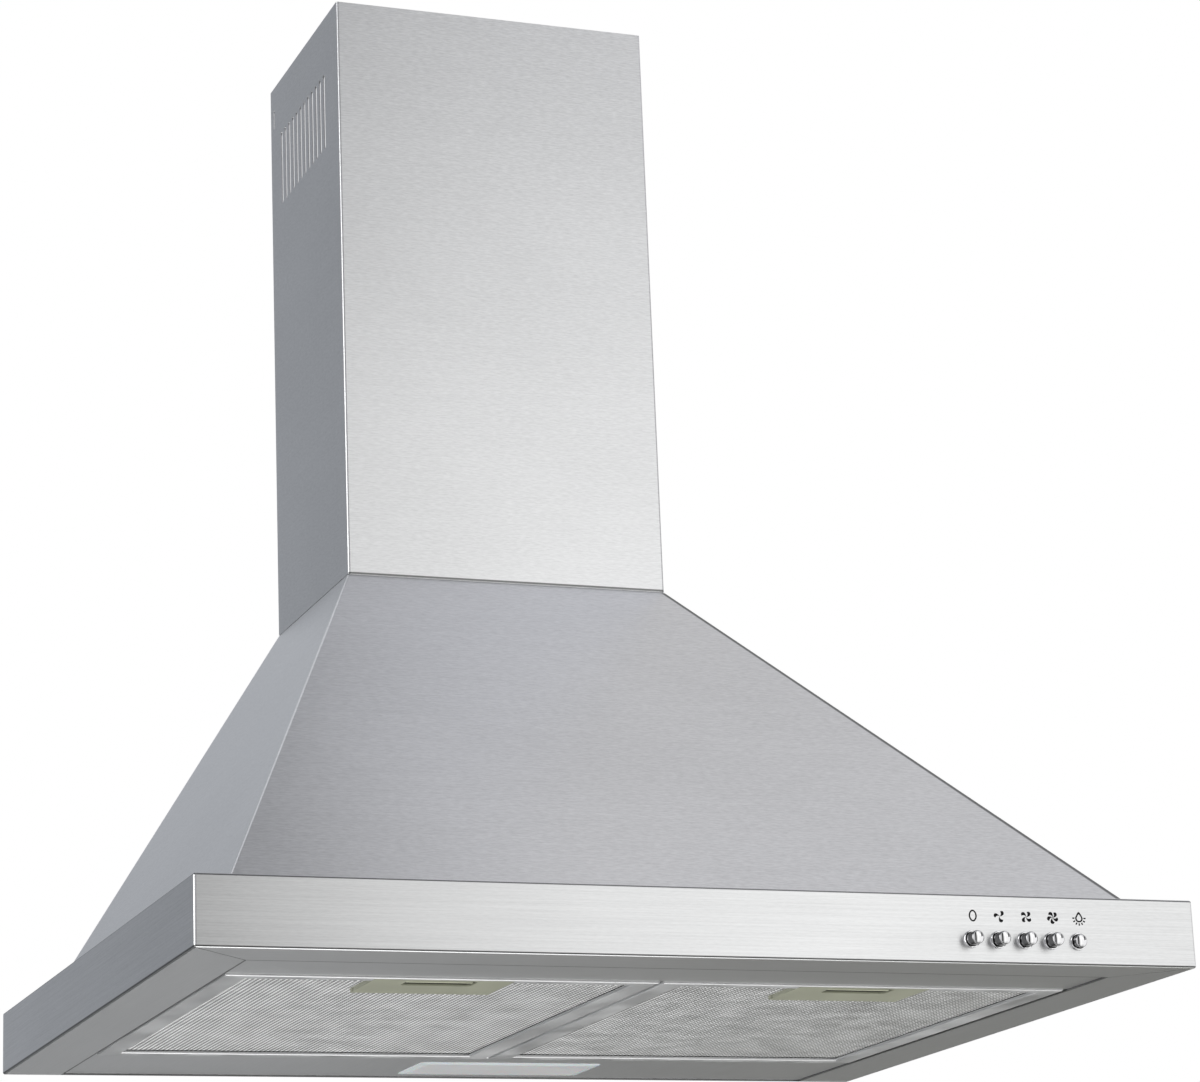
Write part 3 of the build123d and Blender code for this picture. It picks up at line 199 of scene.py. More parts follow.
class Finish:
    """A new material and its node tree, with short ways to add and join nodes."""

    def __init__(self, name):
        self.material = bpy.data.materials.new(name)
        self.material.use_nodes = True
        self.tree = self.material.node_tree
        self.shader = self.tree.nodes["Principled BSDF"]
        self.place = self.node("TexCoord").outputs["Object"]

    def node(self, kind, values=None, **settings):
        """Add a node, set its options, and set or join its inputs."""
        made = self.tree.nodes.new("ShaderNode" + kind)
        for option, value in settings.items():
            setattr(made, option, value)
        for socket, value in (values or {}).items():
            self.give(made.inputs[socket], value)
        return made

    def give(self, socket, value):
        """Join an output to the socket, or set its constant."""
        if isinstance(value, bpy.types.NodeSocket):
            self.tree.links.new(value, socket)
        elif isinstance(value, (tuple, list)) and socket.type == "RGBA":
            socket.default_value = (*value[:3], 1.0)
        else:
            socket.default_value = value

    def set(self, **values):
        """Set or join inputs of the surface shader, with spaces written as underscores."""
        for name, value in values.items():
            self.give(self.shader.inputs[name.replace("_", " ")], value)

    def scaled(self, sizes):
        """Object coordinates divided by the given lengths."""
        values = {"Vector": self.place, "Scale": tuple(1.0 / size for size in sizes)}
        return self.node("Mapping", values).outputs[0]

    def noise(self, sizes, detail=2.0, roughness=0.5):
        """Noise whose features have the given lengths along X, Y and Z."""
        values = {"Vector": self.scaled(sizes), "Scale": 1.0, "Detail": detail, "Roughness": roughness}
        return self.node("TexNoise", values).outputs["Fac"]

    def math(self, operation, first, second=0.0):
        """One arithmetic step."""
        return self.node("Math", {0: first, 1: second}, operation=operation).outputs[0]

    def remap(self, value, low, high, start=0.0, end=1.0):
        """Carry the span start to end over to low to high, held at the ends."""
        values = {"Value": value, "From Min": start, "From Max": end, "To Min": low, "To Max": high}
        return self.node("MapRange", values).outputs[0]

    def ramp(self, value, start, end):
        """Rise from none at start to one at end."""
        return self.remap(value, 0.0, 1.0, start, end)

    def vary(self, noise, low, high):
        """Carry the span that noise mostly keeps to over to low to high."""
        return self.remap(noise, low, high, *NOISE_SPAN)

    def apart(self, value, middle):
        """Distance of the value from the middle, either way."""
        return self.math("ABSOLUTE", self.math("SUBTRACT", value, middle))

    def line(self, value, middle, half):
        """One where the value lies within half of the middle, else none, with soft sides."""
        return self.remap(self.apart(value, middle), 1.0, 0.0, half * 0.7, half * 1.3)

    def axes(self):
        """Object coordinates X, Y and Z."""
        return self.node("SeparateXYZ", {0: self.place}).outputs

    def mix(self, share, first, second):
        """Blend two colours."""
        made = self.node("Mix", data_type="RGBA")
        self.give(made.inputs[0], share)
        self.give(made.inputs[6], first)
        self.give(made.inputs[7], second)
        return made.outputs[2]

    def shade(self, color, share):
        """The colour times a grey factor that comes from share."""
        made = self.node("Mix", data_type="RGBA", blend_type="MULTIPLY")
        self.give(made.inputs[0], 1.0)
        self.give(made.inputs[6], color)
        self.give(made.inputs[7], self.node("CombineColor", {0: share, 1: share, 2: share}).outputs[0])
        return made.outputs[2]

    def bump(self, height, distance, strength=1.0):
        """Surface normal tilted by a height."""
        values = {"Height": height, "Distance": distance, "Strength": strength}
        return self.node("Bump", values).outputs[0]


def put_mesh(name, points, faces, material, body, slot):
    """Make a mesh object from an array of points and an array of faces with equal corner counts."""
    points = np.asarray(points, np.float32).reshape(-1, 3)
    faces = np.asarray(faces, np.int32)
    corners = faces.shape[1]
    mesh = bpy.data.meshes.new(name)
    mesh.vertices.add(len(points))
    mesh.vertices.foreach_set("co", points.ravel())
    mesh.loops.add(faces.size)
    mesh.loops.foreach_set("vertex_index", faces.ravel())
    mesh.polygons.add(len(faces))
    mesh.polygons.foreach_set("loop_start", np.arange(0, faces.size, corners, dtype=np.int32))
    mesh.update(calc_edges=True)
    mesh.validate()
    mesh.materials.append(material)
    made = bpy.data.objects.new(name, mesh)
    bpy.context.scene.collection.objects.link(made)
    if body:
        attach(made, body)
    return made


def join_parts(parts):
    """One array of points and one of faces from several, with the face numbers moved on."""
    starts = np.cumsum([0] + [len(points) for points, _ in parts[:-1]])
    points = np.concatenate([points for points, _ in parts])
    faces = np.concatenate([faces + start for (_, faces), start in zip(parts, starts)])
    return points, faces


def strip_faces(rows, stations, corners):
    """Quads of closed strips: between each station and the next, round the profile, with both ends capped.

    Point numbers run over strips, then stations, then profile corners.
    """
    row, station, corner = np.meshgrid(
        np.arange(rows), np.arange(stations - 1), np.arange(corners), indexing="ij"
    )
    here = (row * stations + station) * corners
    nxt = (corner + 1) % corners
    sides = np.stack([here + corner, here + nxt, here + corners + nxt, here + corners + corner], -1)
    first = np.arange(rows)[:, None] * stations * corners
    start = first + np.arange(corners)[::-1]
    end = first + (stations - 1) * corners + np.arange(corners)
    return np.concatenate([sides.reshape(-1, 4), start, end])


def slab_from_grid(front, depth):
    """A closed plate: a grid of points, a copy of it set back by depth, and a strip round the edge."""
    rows, columns = front.shape[:2]
    back = front + np.asarray(depth)
    points = np.concatenate([front.reshape(-1, 3), back.reshape(-1, 3)])
    number = np.arange(rows * columns).reshape(rows, columns)
    quads = np.stack(
        [number[:-1, :-1], number[:-1, 1:], number[1:, 1:], number[1:, :-1]], -1
    ).reshape(-1, 4)
    edge = np.concatenate([number[0, :-1], number[:-1, -1], number[-1, :0:-1], number[:0:-1, 0]])
    after = np.roll(edge, -1)
    rim = np.stack([after, edge, edge + rows * columns, after + rows * columns], -1)
    return points, np.concatenate([quads, quads[:, ::-1] + rows * columns, rim])


def dress(material, nodes):
    """Give the material to CAD nodes."""
    for name in nodes:
        mesh = NODES[name].data
        mesh.materials.clear()
        mesh.materials.append(material)


def nodes_of(slot):
    """Names of the CAD nodes in one of the record's material slots."""
    return [name for name, held in NODE_SLOT.items() if held == slot]


def chimney_edge(made, settings, x, y, z):
    """Painted shade line along the lower edge of the chimney's front, standing in for the shadow gap at its
    foot.
    """
    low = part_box("chimney_cover")[0]
    front = made.math("LESS_THAN", y, low.y + settings.seam)
    return made.math("MULTIPLY", made.line(z, low.z + 2 * settings.seam, settings.seam), front)


def pyramid_edge(made, settings, x, y, z):
    """Painted dark reflection line along the right fold of the pyramid's front, whose half width shrinks
    evenly upwards.
    """
    low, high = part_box("pyramid_front")
    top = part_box("cap_plate")[1].x
    fold = made.remap(z, high.x, top, low.z, high.z)
    return made.line(made.math("SUBTRACT", fold, x), 2 * settings.seam, 3.5 * settings.seam)


def turn_at_rim(made, settings, x, y, z):
    """Turned grain of the rim: its coordinates, one on level faces, and the lines of painted shade and of
    dark joints.

    On level faces the grain is short along Y, or along X on the side flanges. The lines follow the flange's
    inner fold, as painted shade of a shadow gap; its mitres, as dark joints; and the upper and lower edges
    of the upright faces, as painted dark reflections on the bends.
    """
    facing = made.node("SeparateXYZ", {0: made.node("TexCoord").outputs["Normal"]}).outputs[2]
    level = made.math("GREATER_THAN", made.math("ABSOLUTE", facing), LEVEL_FACE)
    low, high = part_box("rim_frame")
    from_side = made.math("SUBTRACT", high.x, made.math("ABSOLUTE", x))
    from_front = made.math("SUBTRACT", y, low.y)
    side = made.math("LESS_THAN", from_side, from_front)
    across = made.math(
        "ADD",
        made.math("MULTIPLY", x, side),
        made.math("MULTIPLY", y, made.math("SUBTRACT", 1.0, side)),
    )
    short = made.math("ADD", z, made.math("MULTIPLY", across, level))
    place = made.node("CombineXYZ", {0: x, 1: y, 2: short}).outputs[0]
    nearest = made.math("MINIMUM", from_side, from_front)
    fold = made.line(nearest, settings.flange - settings.seam, settings.seam)
    mitre = made.line(made.math("SUBTRACT", from_side, from_front), 0.0, settings.seam * 0.8)
    mitre = made.math("MULTIPLY", mitre, made.math("LESS_THAN", nearest, settings.flange))
    flat_lines = made.math("MULTIPLY", made.math("MAXIMUM", fold, mitre), level)
    from_middle = made.apart(z, (low.z + high.z) / 2)
    brink = made.line(from_middle, (high.z - low.z) / 2 - settings.seam, settings.seam)
    upright_lines = made.math("MULTIPLY", brink, made.math("SUBTRACT", 1.0, level))
    return place, level, made.math("MAXIMUM", flat_lines, upright_lines)


def brushed_steel(name, settings, streak, grain, relief, turned=False, edge=None):
    """Brushed sheet: noise long along X and Y and short along Z, so the grain is level on upright faces."""
    made = Finish(name)
    axes = made.axes()
    # Painted shade lines along the given edge; on the rim, turn_at_rim gives its own lines instead
    seam = edge(made, settings, *axes) if edge else 0.0
    if turned:
        made.place, level, seam = turn_at_rim(made, settings, *axes)
    long_size = (settings.streak_length, settings.streak_length, settings.streak_height)
    short_size = (settings.grain_length, settings.grain_length, settings.grain_height)
    long_mark = made.noise(long_size, detail=4.0, roughness=0.65)
    short_mark = made.noise(short_size, detail=3.0, roughness=0.6)
    cloud = made.noise((0.16, 0.16, 0.11), detail=3.0)
    marks = made.math(
        "ADD",
        made.vary(long_mark, -streak / 2, streak / 2),
        made.remap(short_mark, -grain / 2, grain / 2, 0.25, 0.75),
    )
    if turned:
        marks = made.math("MULTIPLY", marks, made.remap(level, 1.0, settings.level_marks))
    tone = made.math("ADD", marks, made.vary(cloud, 0.965, 1.015))
    # Painted shade: darken the colour along those lines
    tone = made.math("MULTIPLY", tone, made.remap(seam, 1.0, settings.seam_tone))
    facing = made.node("NewGeometry").outputs["Normal"]
    along = made.node("VectorMath", {0: (0.0, 0.0, 1.0), 1: facing}, operation="CROSS_PRODUCT").outputs[0]
    made.set(
        Base_Color=made.shade(tuple(settings.steel), tone),
        Anisotropic=settings.directed,
        Anisotropic_Rotation=0.25,
        Tangent=made.node("VectorMath", {0: along, 1: (0.001, 0.0, 0.0)}, operation="ADD").outputs[0],
        Metallic=1.0,
        Roughness=made.math("ADD", made.vary(short_mark, -0.02, 0.02), settings.steel_roughness),
        Normal=made.bump(made.math("ADD", long_mark, short_mark), relief, 0.35),
    )
    return made.material


def galvanised(settings):
    """Zinc coated sheet: Voronoi cells give each crystal its own grey, and noise dulls it."""
    made = Finish("galvanised_sheet")
    cells = made.node(
        "TexVoronoi", {"Vector": made.place, "Scale": 1.0 / settings.spangle, "Randomness": 1.0}
    )
    crystal = made.node("SeparateColor", {0: cells.outputs["Color"]}).outputs[0]
    dull = made.noise((0.03, 0.03, 0.03), detail=4.0)
    tone = made.math("ADD", made.remap(crystal, 0.90, 1.05), made.vary(dull, -0.07, 0.07))
    made.set(
        Base_Color=made.shade(tuple(settings.zinc), tone),
        Metallic=1.0,
        Roughness=made.math("ADD", made.remap(crystal, -0.06, 0.06), made.vary(dull, 0.42, 0.54)),
        Normal=made.bump(crystal, 0.00004, 0.3),
    )
    return made.material


def plain_metal(name, color, roughness, sizes, variation):
    """Metal with a fine drawn or rolled grain from noise of the given sizes."""
    made = Finish(name)
    mark = made.noise(sizes, detail=3.0)
    smudge = made.noise((0.05, 0.05, 0.05), detail=3.0)
    tone = made.math(
        "ADD",
        made.vary(mark, 1.0 - variation, 1.0 + variation),
        made.vary(smudge, -variation / 2, variation / 2),
    )
    made.set(
        Base_Color=made.shade(tuple(color), tone),
        Metallic=1.0,
        Roughness=made.vary(mark, roughness * 0.8, roughness * 1.2),
        Normal=made.bump(mark, 0.00002, 0.3),
    )
    return made.material


def button_chrome(color, head, dome):
    """Polished chrome whose normal leans sideways from the nearest button axis, so heads mirror like domes.

    The barrel, at the head's radius from the axis, is darkened by painted shade, standing in for its dark
    reflections.
    """
    made = Finish("polished_chrome")
    x, _, z = made.axes()
    first, last = (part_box(f"button_{name}") for name in (BUTTONS[0], BUTTONS[-1]))
    start, end = ((low + high) / 2 for low, high in (first, last))
    pitch = (end.x - start.x) / (len(BUTTONS) - 1)
    turns = made.math("DIVIDE", made.math("SUBTRACT", x, start.x), pitch)
    across = made.math("MULTIPLY", made.math("SUBTRACT", turns, made.math("ROUND", turns)), pitch)
    spoke = made.node("CombineXYZ", {0: across, 2: made.math("SUBTRACT", z, start.z)}).outputs[0]
    from_axis = made.node("VectorMath", {0: spoke}, operation="LENGTH").outputs["Value"]
    # Painted shade on the barrel and the head's edge
    barrel = made.remap(made.line(from_axis, head, BARREL_BAND), 0.0, BARREL_SHADE)
    lean = made.node("CombineXYZ", {0: made.math("DIVIDE", across, dome)}).outputs[0]
    facing = made.node("NewGeometry").outputs["Normal"]
    leant = made.node("VectorMath", {0: facing, 1: lean}, operation="ADD").outputs[0]
    smear = made.noise((0.0015,) * 3, detail=3.0)
    made.set(
        Base_Color=made.shade(tuple(color), made.math("SUBTRACT", made.vary(smear, 0.97, 1.02), barrel)),
        Metallic=1.0,
        Roughness=made.vary(smear, 0.04, 0.06),
        Normal=made.node("VectorMath", {0: leant}, operation="NORMALIZE").outputs[0],
    )
    return made.material


def moulded_plastic(name, color, roughness, texture_size, depth, variation):
    """Plastic with a fine moulded texture and faint flow marks, both from noise."""
    made = Finish(name)
    texture = made.noise((texture_size,) * 3, detail=2.0)
    flow = made.noise(FLOW_MARK, detail=3.0)
    tone = made.math(
        "ADD",
        made.vary(flow, 1.0 - variation, 1.0 + variation),
        made.vary(texture, -variation / 2, variation / 2),
    )
    made.set(
        Base_Color=made.shade(tuple(color), tone),
        Roughness=made.math("ADD", made.vary(flow, -0.05, 0.05), roughness),
        Normal=made.bump(texture, depth, 0.5),
    )
    return made.material


def handle_plastic(color):
    """Moulded plastic with painted shade that darkens it upwards in the finger pocket, clear of the handle's
    sides and upper face.
    """
    made = Finish("handle_plastic")
    skin, mouth, deep = 0.0003, 0.0004, 0.0016
    low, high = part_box("latch_handle_right")
    middle, half = (low + high) / 2, (high - low) / 2
    x, y, z = made.axes()
    across = made.apart(made.math("ABSOLUTE", x), middle.x)
    pocket = made.math("LESS_THAN", across, 0.6 * half.x)
    for reach, limit in ((made.apart(y, middle.y), half.y), (made.apart(z, middle.z), half.z)):
        pocket = made.math("MULTIPLY", pocket, made.math("LESS_THAN", reach, limit - skin))
    # Painted shade: darker deeper in the pocket, where its walls shade it
    dark = made.math("MULTIPLY", made.remap(z, 0.0, 0.93, low.z + mouth, low.z + deep), pocket)
    flow = made.noise(FLOW_MARK, detail=3.0)
    tone = made.math("MULTIPLY", made.math("SUBTRACT", 1.0, dark), made.vary(flow, 0.93, 1.07))
    made.set(
        Base_Color=made.shade(tuple(color), tone),
        Roughness=made.vary(flow, 0.38, 0.48),
        Normal=made.bump(made.noise((0.0006,) * 3), 0.00002, 0.5),
    )
    return made.material


def slider_plastic(color):
    """Paler moulded plastic: a painted highlight, twice the handle's colour, on its rear lip, and painted
    shade, down to half, towards the front under the edge of the finger pocket.
    """
    made = Finish("slider_plastic")
    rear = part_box("latch_slider_right")[1].y
    highlight_end, painted_shade_end = rear - 0.004, rear - 0.008
    # Painted highlight on the lip and painted shade towards the front
    shade = made.remap(made.axes()[1], 0.5, 2.0, painted_shade_end, highlight_end)
    flow = made.noise(FLOW_MARK, detail=3.0)
    tone = made.math("MULTIPLY", shade, made.vary(flow, 0.93, 1.07))
    made.set(Base_Color=made.shade(tuple(color), tone), Roughness=made.vary(flow, 0.38, 0.46))
    return made.material


def lamp_lens(settings):
    """Milky lens: a paler rim outside the inner plate, and fine frost in the plate."""
    made = Finish("milky_lens")
    low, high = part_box("lamp_lens")
    middle, half = (low + high) / 2, (high - low) / 2
    axes = made.axes()
    reach = [
        made.math("SUBTRACT", made.apart(axes[axis], middle[axis]), half[axis] - settings.lens_border)
        for axis in (0, 1)
    ]
    rim = made.ramp(made.math("MAXIMUM", *reach), -0.0004, 0.0004)
    frost = made.noise((0.0016,) * 3, detail=3.0)
    cloud = made.noise((0.03, 0.02, 0.02), detail=2.0)
    tone = made.math("ADD", made.vary(cloud, 0.95, 1.03), made.vary(frost, -0.03, 0.03))
    plate = tuple(settings.lens_plate * c for c in settings.lens)
    made.set(
        Base_Color=made.shade(made.mix(rim, plate, tuple(settings.lens)), tone),
        Roughness=made.remap(rim, 0.34, 0.22),
        Normal=made.bump(frost, 0.00003, 0.4),
        Subsurface_Weight=0.25,
        Subsurface_Scale=0.004,
        Coat_Weight=0.2,
        Coat_Roughness=0.15,
    )
    return made.material


def frosted_glass(settings):
    """Frosted bulb: rough transmission with faint cloud in its colour."""
    made = Finish("frosted_bulb")
    cloud = made.noise((0.008,) * 3, detail=3.0)
    made.set(
        Base_Color=made.shade(tuple(settings.bulb), made.vary(cloud, 0.94, 1.0)),
        Roughness=made.vary(cloud, 0.32, 0.5),
        Transmission_Weight=0.7,
        IOR=1.5,
    )
    return made.material


# material, colour setting, roughness, lengths of a mark, change of shade
PLAIN_METALS = {
    "aluminium": ("mill_aluminium", "aluminium", 0.45, (0.03, 0.05, 0.0008), 0.05),
    "spring_steel": ("spring_steel", "spring", 0.28, (0.0006, 0.004, 0.0006), 0.10),
    "screw_steel": ("zinc_plating", "screw", 0.30, (0.002, 0.002, 0.002), 0.08),
}
# material, colour setting, roughness, width and depth of the texture, change of shade
PLAIN_PLASTICS = {
    "dark_plastic": ("dark_plastic", "dark", 0.48, 0.0008, 0.00003, 0.2),
    "grey_plastic": ("grey_plastic", "grey", 0.50, 0.0008, 0.00003, 0.1),
    "white_plastic": ("white_plastic", "white", 0.45, 0.0008, 0.00002, 0.07),
    "motor_paint": ("motor_paint", "motor", 0.38, 0.0016, 0.00005, 0.12),
}


class HOOD_OT_sheet_metal(bpy.types.Operator):
    """Finish the stainless and galvanised sheets"""

    bl_idname = "hood.sheet_metal"
    bl_label = "Finish sheet metal"

    def execute(self, context):
        metal = context.scene.hood_metal
        sheet = metal, metal.streak * 0.5, metal.grain, metal.sheet_relief
        dress(brushed_steel("brushed_sheet", *sheet), nodes_of("stainless"))
        dress(brushed_steel("brushed_chimney", *sheet, edge=chimney_edge), ["chimney_cover"])
        dress(brushed_steel("brushed_front", *sheet, edge=pyramid_edge), ["pyramid_front"])
        rim = metal, metal.streak, metal.grain * 0.5, metal.rim_relief
        dress(brushed_steel("brushed_rim", *rim, turned=True), ("rim_frame", "base_panel"))
        dress(galvanised(metal), nodes_of("galvanised"))
        return {"FINISHED"}


class HOOD_OT_fittings(bpy.types.Operator):
    """Finish the buttons, filters' frames, springs, screws, motor, lamp and plastics"""

    bl_idname = "hood.fittings"
    bl_label = "Finish fittings"

    def execute(self, context):
        metal = context.scene.hood_metal
        plastic = context.scene.hood_plastic
        finishes = {
            "chrome": button_chrome(metal.chrome, metal.head, metal.dome),
            "handle_plastic": handle_plastic(plastic.handle),
            "lens_plastic": lamp_lens(plastic),
            "bulb_glass": frosted_glass(plastic),
        }
        for slot, (name, color, *marks) in PLAIN_METALS.items():
            finishes[slot] = plain_metal(name, getattr(metal, color), *marks)
        for slot, (name, color, *marks) in PLAIN_PLASTICS.items():
            finishes[slot] = moulded_plastic(name, getattr(plastic, color), *marks)
        for slot, material in finishes.items():
            dress(material, nodes_of(slot))
        dress(slider_plastic(plastic.handle), ("latch_slider_left", "latch_slider_right"))
        return {"FINISHED"}


def expanded_aluminium(name, color, middle, settings):
    """Strand metal with painted light: bright at the bonds, one every half long way along X, and duller
    between, standing in for how the twisted strands catch the light.
    """
    made = Finish(name)
    x = made.axes()[0]
    turns = made.math("MULTIPLY", made.math("SUBTRACT", x, middle), 4 * math.pi / settings.long_way)
    # Painted sheen at the bonds and painted shade between them
    bond = made.remap(made.math("COSINE", turns), 1.0 - settings.bond, 1.0, -0.6, 0.6)
    smudge = made.noise((0.02, 0.02, 0.01), detail=3.0)
    tone = made.math("ADD", bond, made.vary(smudge, -0.05, 0.05))
    made.set(
        Base_Color=made.shade(tuple(color), tone),
        Metallic=1.0,
        Roughness=made.vary(smudge, 0.30, 0.42),
    )
    return made.material


def filter_fields(mesh_box, handle_box, gap, lap_x=0.0, lap_y=0.0):
    """The mesh's three rectangles: behind the handle, and left and right of it, where they may lap it."""
    (low, high), (near, far) = mesh_box, handle_box
    split = far.y + gap
    return (
        ((low.x, high.x), (split, high.y)),
        ((low.x, near.x - gap + lap_x), (low.y, split + lap_y)),
        ((far.x + gap - lap_x, high.x), (low.y, split + lap_y)),
    )


def expanded_metal(x_span, y_span, level, middle, settings):
    """Expanded metal as zigzag strands over a rectangle.

    Strand r at station s lies at x = s times half the long way and y = (r plus or minus a half) times half
    the short way, with the sign turning at each station and each strand, so neighbours meet at every other
    station and leave diamonds between. A tilted rectangle is carried along each strand.
    """
    step_x, step_y = settings.long_way / 2, settings.short_way / 2
    half_strand = settings.strand_width / 2
    first_s, last_s = (math.ceil((x_span[0] - middle) / step_x), math.floor((x_span[1] - middle) / step_x))
    margin = step_y / 2 + half_strand
    first_r, last_r = math.ceil((y_span[0] + margin) / step_y), math.floor((y_span[1] - margin) / step_y)
    strand, station = np.meshgrid(
        np.arange(first_r, last_r + 1), np.arange(first_s, last_s + 1), indexing="ij"
    )
    turn = 1 - 2 * ((strand + station) % 2)
    path = np.stack(
        [middle + station * step_x, (strand + turn / 2) * step_y, np.full(strand.shape, level)], -1
    )
    tilt = settings.strand_tilt
    wide = np.array([0.0, math.cos(tilt), math.sin(tilt)]) * half_strand
    thin = np.array([0.0, -math.sin(tilt), math.cos(tilt)]) * settings.strand_sheet / 2
    profile = np.stack([-wide - thin, wide - thin, wide + thin, -wide + thin])
    points = path[:, :, None, :] + profile
    return points.reshape(-1, 3), strip_faces(*strand.shape, 4)


def foil_pad(x_span, y_span, level, settings):
    """Rippled foil: a plate whose height is a product of a sine along X and a sine along Y."""
    pitch = settings.foil_pitch
    columns = int((x_span[1] - x_span[0]) / pitch * 4)
    rows = int((y_span[1] - y_span[0]) / pitch * 4)
    x, y = np.meshgrid(np.linspace(*x_span, columns), np.linspace(*y_span, rows), indexing="ij")
    wave = np.sin(2 * np.pi * x / pitch) * np.sin(2 * np.pi * y / pitch)
    grid = np.stack([x, y, level + settings.foil_wave / 2 * wave], -1)
    return slab_from_grid(grid, (0.0, 0.0, -settings.foil_sheet))


def handle_corners(handle_box, radius):
    """Fillers at the handle's two rear corners: from each point of the rounding to the square corner."""
    low, high = handle_box
    angle, share = np.meshgrid(np.linspace(0, np.pi / 2, 9), (0.0, 1.0), indexing="ij")
    bend = (1 - share) * np.cos(angle) + share, (1 - share) * np.sin(angle) + share
    parts = []
    for x, side in ((low.x, -1), (high.x, 1)):
        across = x + side * radius * (bend[0] - 1)
        grid = np.stack([across, high.y + radius * (bend[1] - 1), np.full(angle.shape, low.z)], -1)
        parts.append(slab_from_grid(grid[::side], (0.0, 0.0, high.z - low.z)))
    return join_parts(parts)


class HOOD_OT_filter_mesh(bpy.types.Operator):
    """Weave the expanded metal of both grease filters in place of their plain pads"""

    bl_idname = "hood.filter_mesh"
    bl_label = "Make filter mesh"

    def execute(self, context):
        settings = context.scene.hood_filter
        metal = context.scene.hood_metal
        # Painted shade: the pad's aluminium is darkened where the front layer shades it
        shade = [settings.foil_tone * c for c in metal.aluminium]
        foil = plain_metal("foil_pad", shade, 0.5, (0.003, 0.003, 0.003), 0.05)
        for side in ("left", "right"):
            node = f"filter_mesh_{side}"
            mesh_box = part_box(node)
            handle_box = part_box(f"latch_handle_{side}")
            fields = filter_fields(mesh_box, handle_box, settings.gap)
            middle = (mesh_box[0].x + mesh_box[1].x) / 2
            strands = expanded_aluminium(f"expanded_aluminium_{side}", metal.foil, middle, settings)
            reach = settings.strand_width / 2 * abs(math.sin(settings.strand_tilt)) + settings.strand_sheet
            front_level = mesh_box[0].z + reach
            pad_level = front_level + reach + settings.foil_wave + settings.foil_sheet
            half_step, row = settings.long_way / 2, settings.short_way / 2 + settings.strand_width
            woven = filter_fields(mesh_box, handle_box, settings.gap, half_step, row)
            weave = join_parts([expanded_metal(*field, front_level, middle, settings) for field in woven])
            pad = join_parts([foil_pad(*field, pad_level, settings) for field in fields])
            body = f"filter_{side}"
            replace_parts(put_mesh(f"filter_weave_{side}", *weave, strands, body, "aluminium"), node)
            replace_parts(put_mesh(f"filter_pad_{side}", *pad, foil, body, "aluminium"), node)
            corners = handle_corners(handle_box, settings.corner)
            plastic = NODES[f"latch_handle_{side}"].data.materials[0]
            put_mesh(f"handle_corners_{side}", *corners, plastic, body, "handle_plastic")
        return {"FINISHED"}


def on_lip(across, up, place):
    """Points on the lip's front face from distances across and up from a place."""
    return np.stack([place[0] + across, np.full(across.shape, place[1]), place[2] + up], -1)


def ring_sign(half_width, half_height, stroke, place, pointed=0.0):
    """A ring: angle by width of the line, on an ellipse whose top and bottom are drawn out by pointed."""
    angle, width = np.meshgrid(np.linspace(0, 2 * np.pi, 49), (0.0, 1.0), indexing="ij")
    narrow = 1 - pointed * np.abs(np.sin(angle)) ** 2
    across = (half_width - stroke * width) * np.cos(angle) * narrow
    up = (half_height - stroke * width) * np.sin(angle)
    return on_lip(across, up, place)


def blade_sign(radius, spread, start, place):
    """A fan blade: share of the radius by share of the width, which grows outwards to a rounded tip."""
    along, over = np.meshgrid(np.linspace(0, 1, 9), np.linspace(-1, 1, 7), indexing="ij")
    tip_round, sweep, at_hub = 0.22, 0.7, 0.45
    reach = radius * along * (1 - tip_round * over ** 2)
    angle = start + sweep * along + spread / 2 * over * (at_hub + (1 - at_hub) * along)
    return on_lip(reach * np.cos(angle), reach * np.sin(angle), place)


def ray_sign(inner, outer, stroke, angle, place):
    """A short straight line along a radius."""
    along, over = np.meshgrid(np.linspace(inner, outer, 3), (-stroke / 2, stroke / 2), indexing="ij")
    across = along * math.cos(angle) - over * math.sin(angle)
    up = along * math.sin(angle) + over * math.cos(angle)
    return on_lip(across, up, place)


def bulb_sign(radius, stroke, place):
    """A drop outline: a circle whose upper half is drawn up to a neck."""
    angle, width = np.meshgrid(np.linspace(0, 2 * np.pi, 49), (0.0, 1.0), indexing="ij")
    rise = np.maximum(np.sin(angle), 0.0)
    reach = radius - stroke * width
    narrowing, drawn_up = 0.35, 0.55
    across = reach * np.cos(angle) * (1 - narrowing * rise ** 2)
    up = reach * np.sin(angle) * (1 + drawn_up * rise ** 2)
    return on_lip(across, up, place)


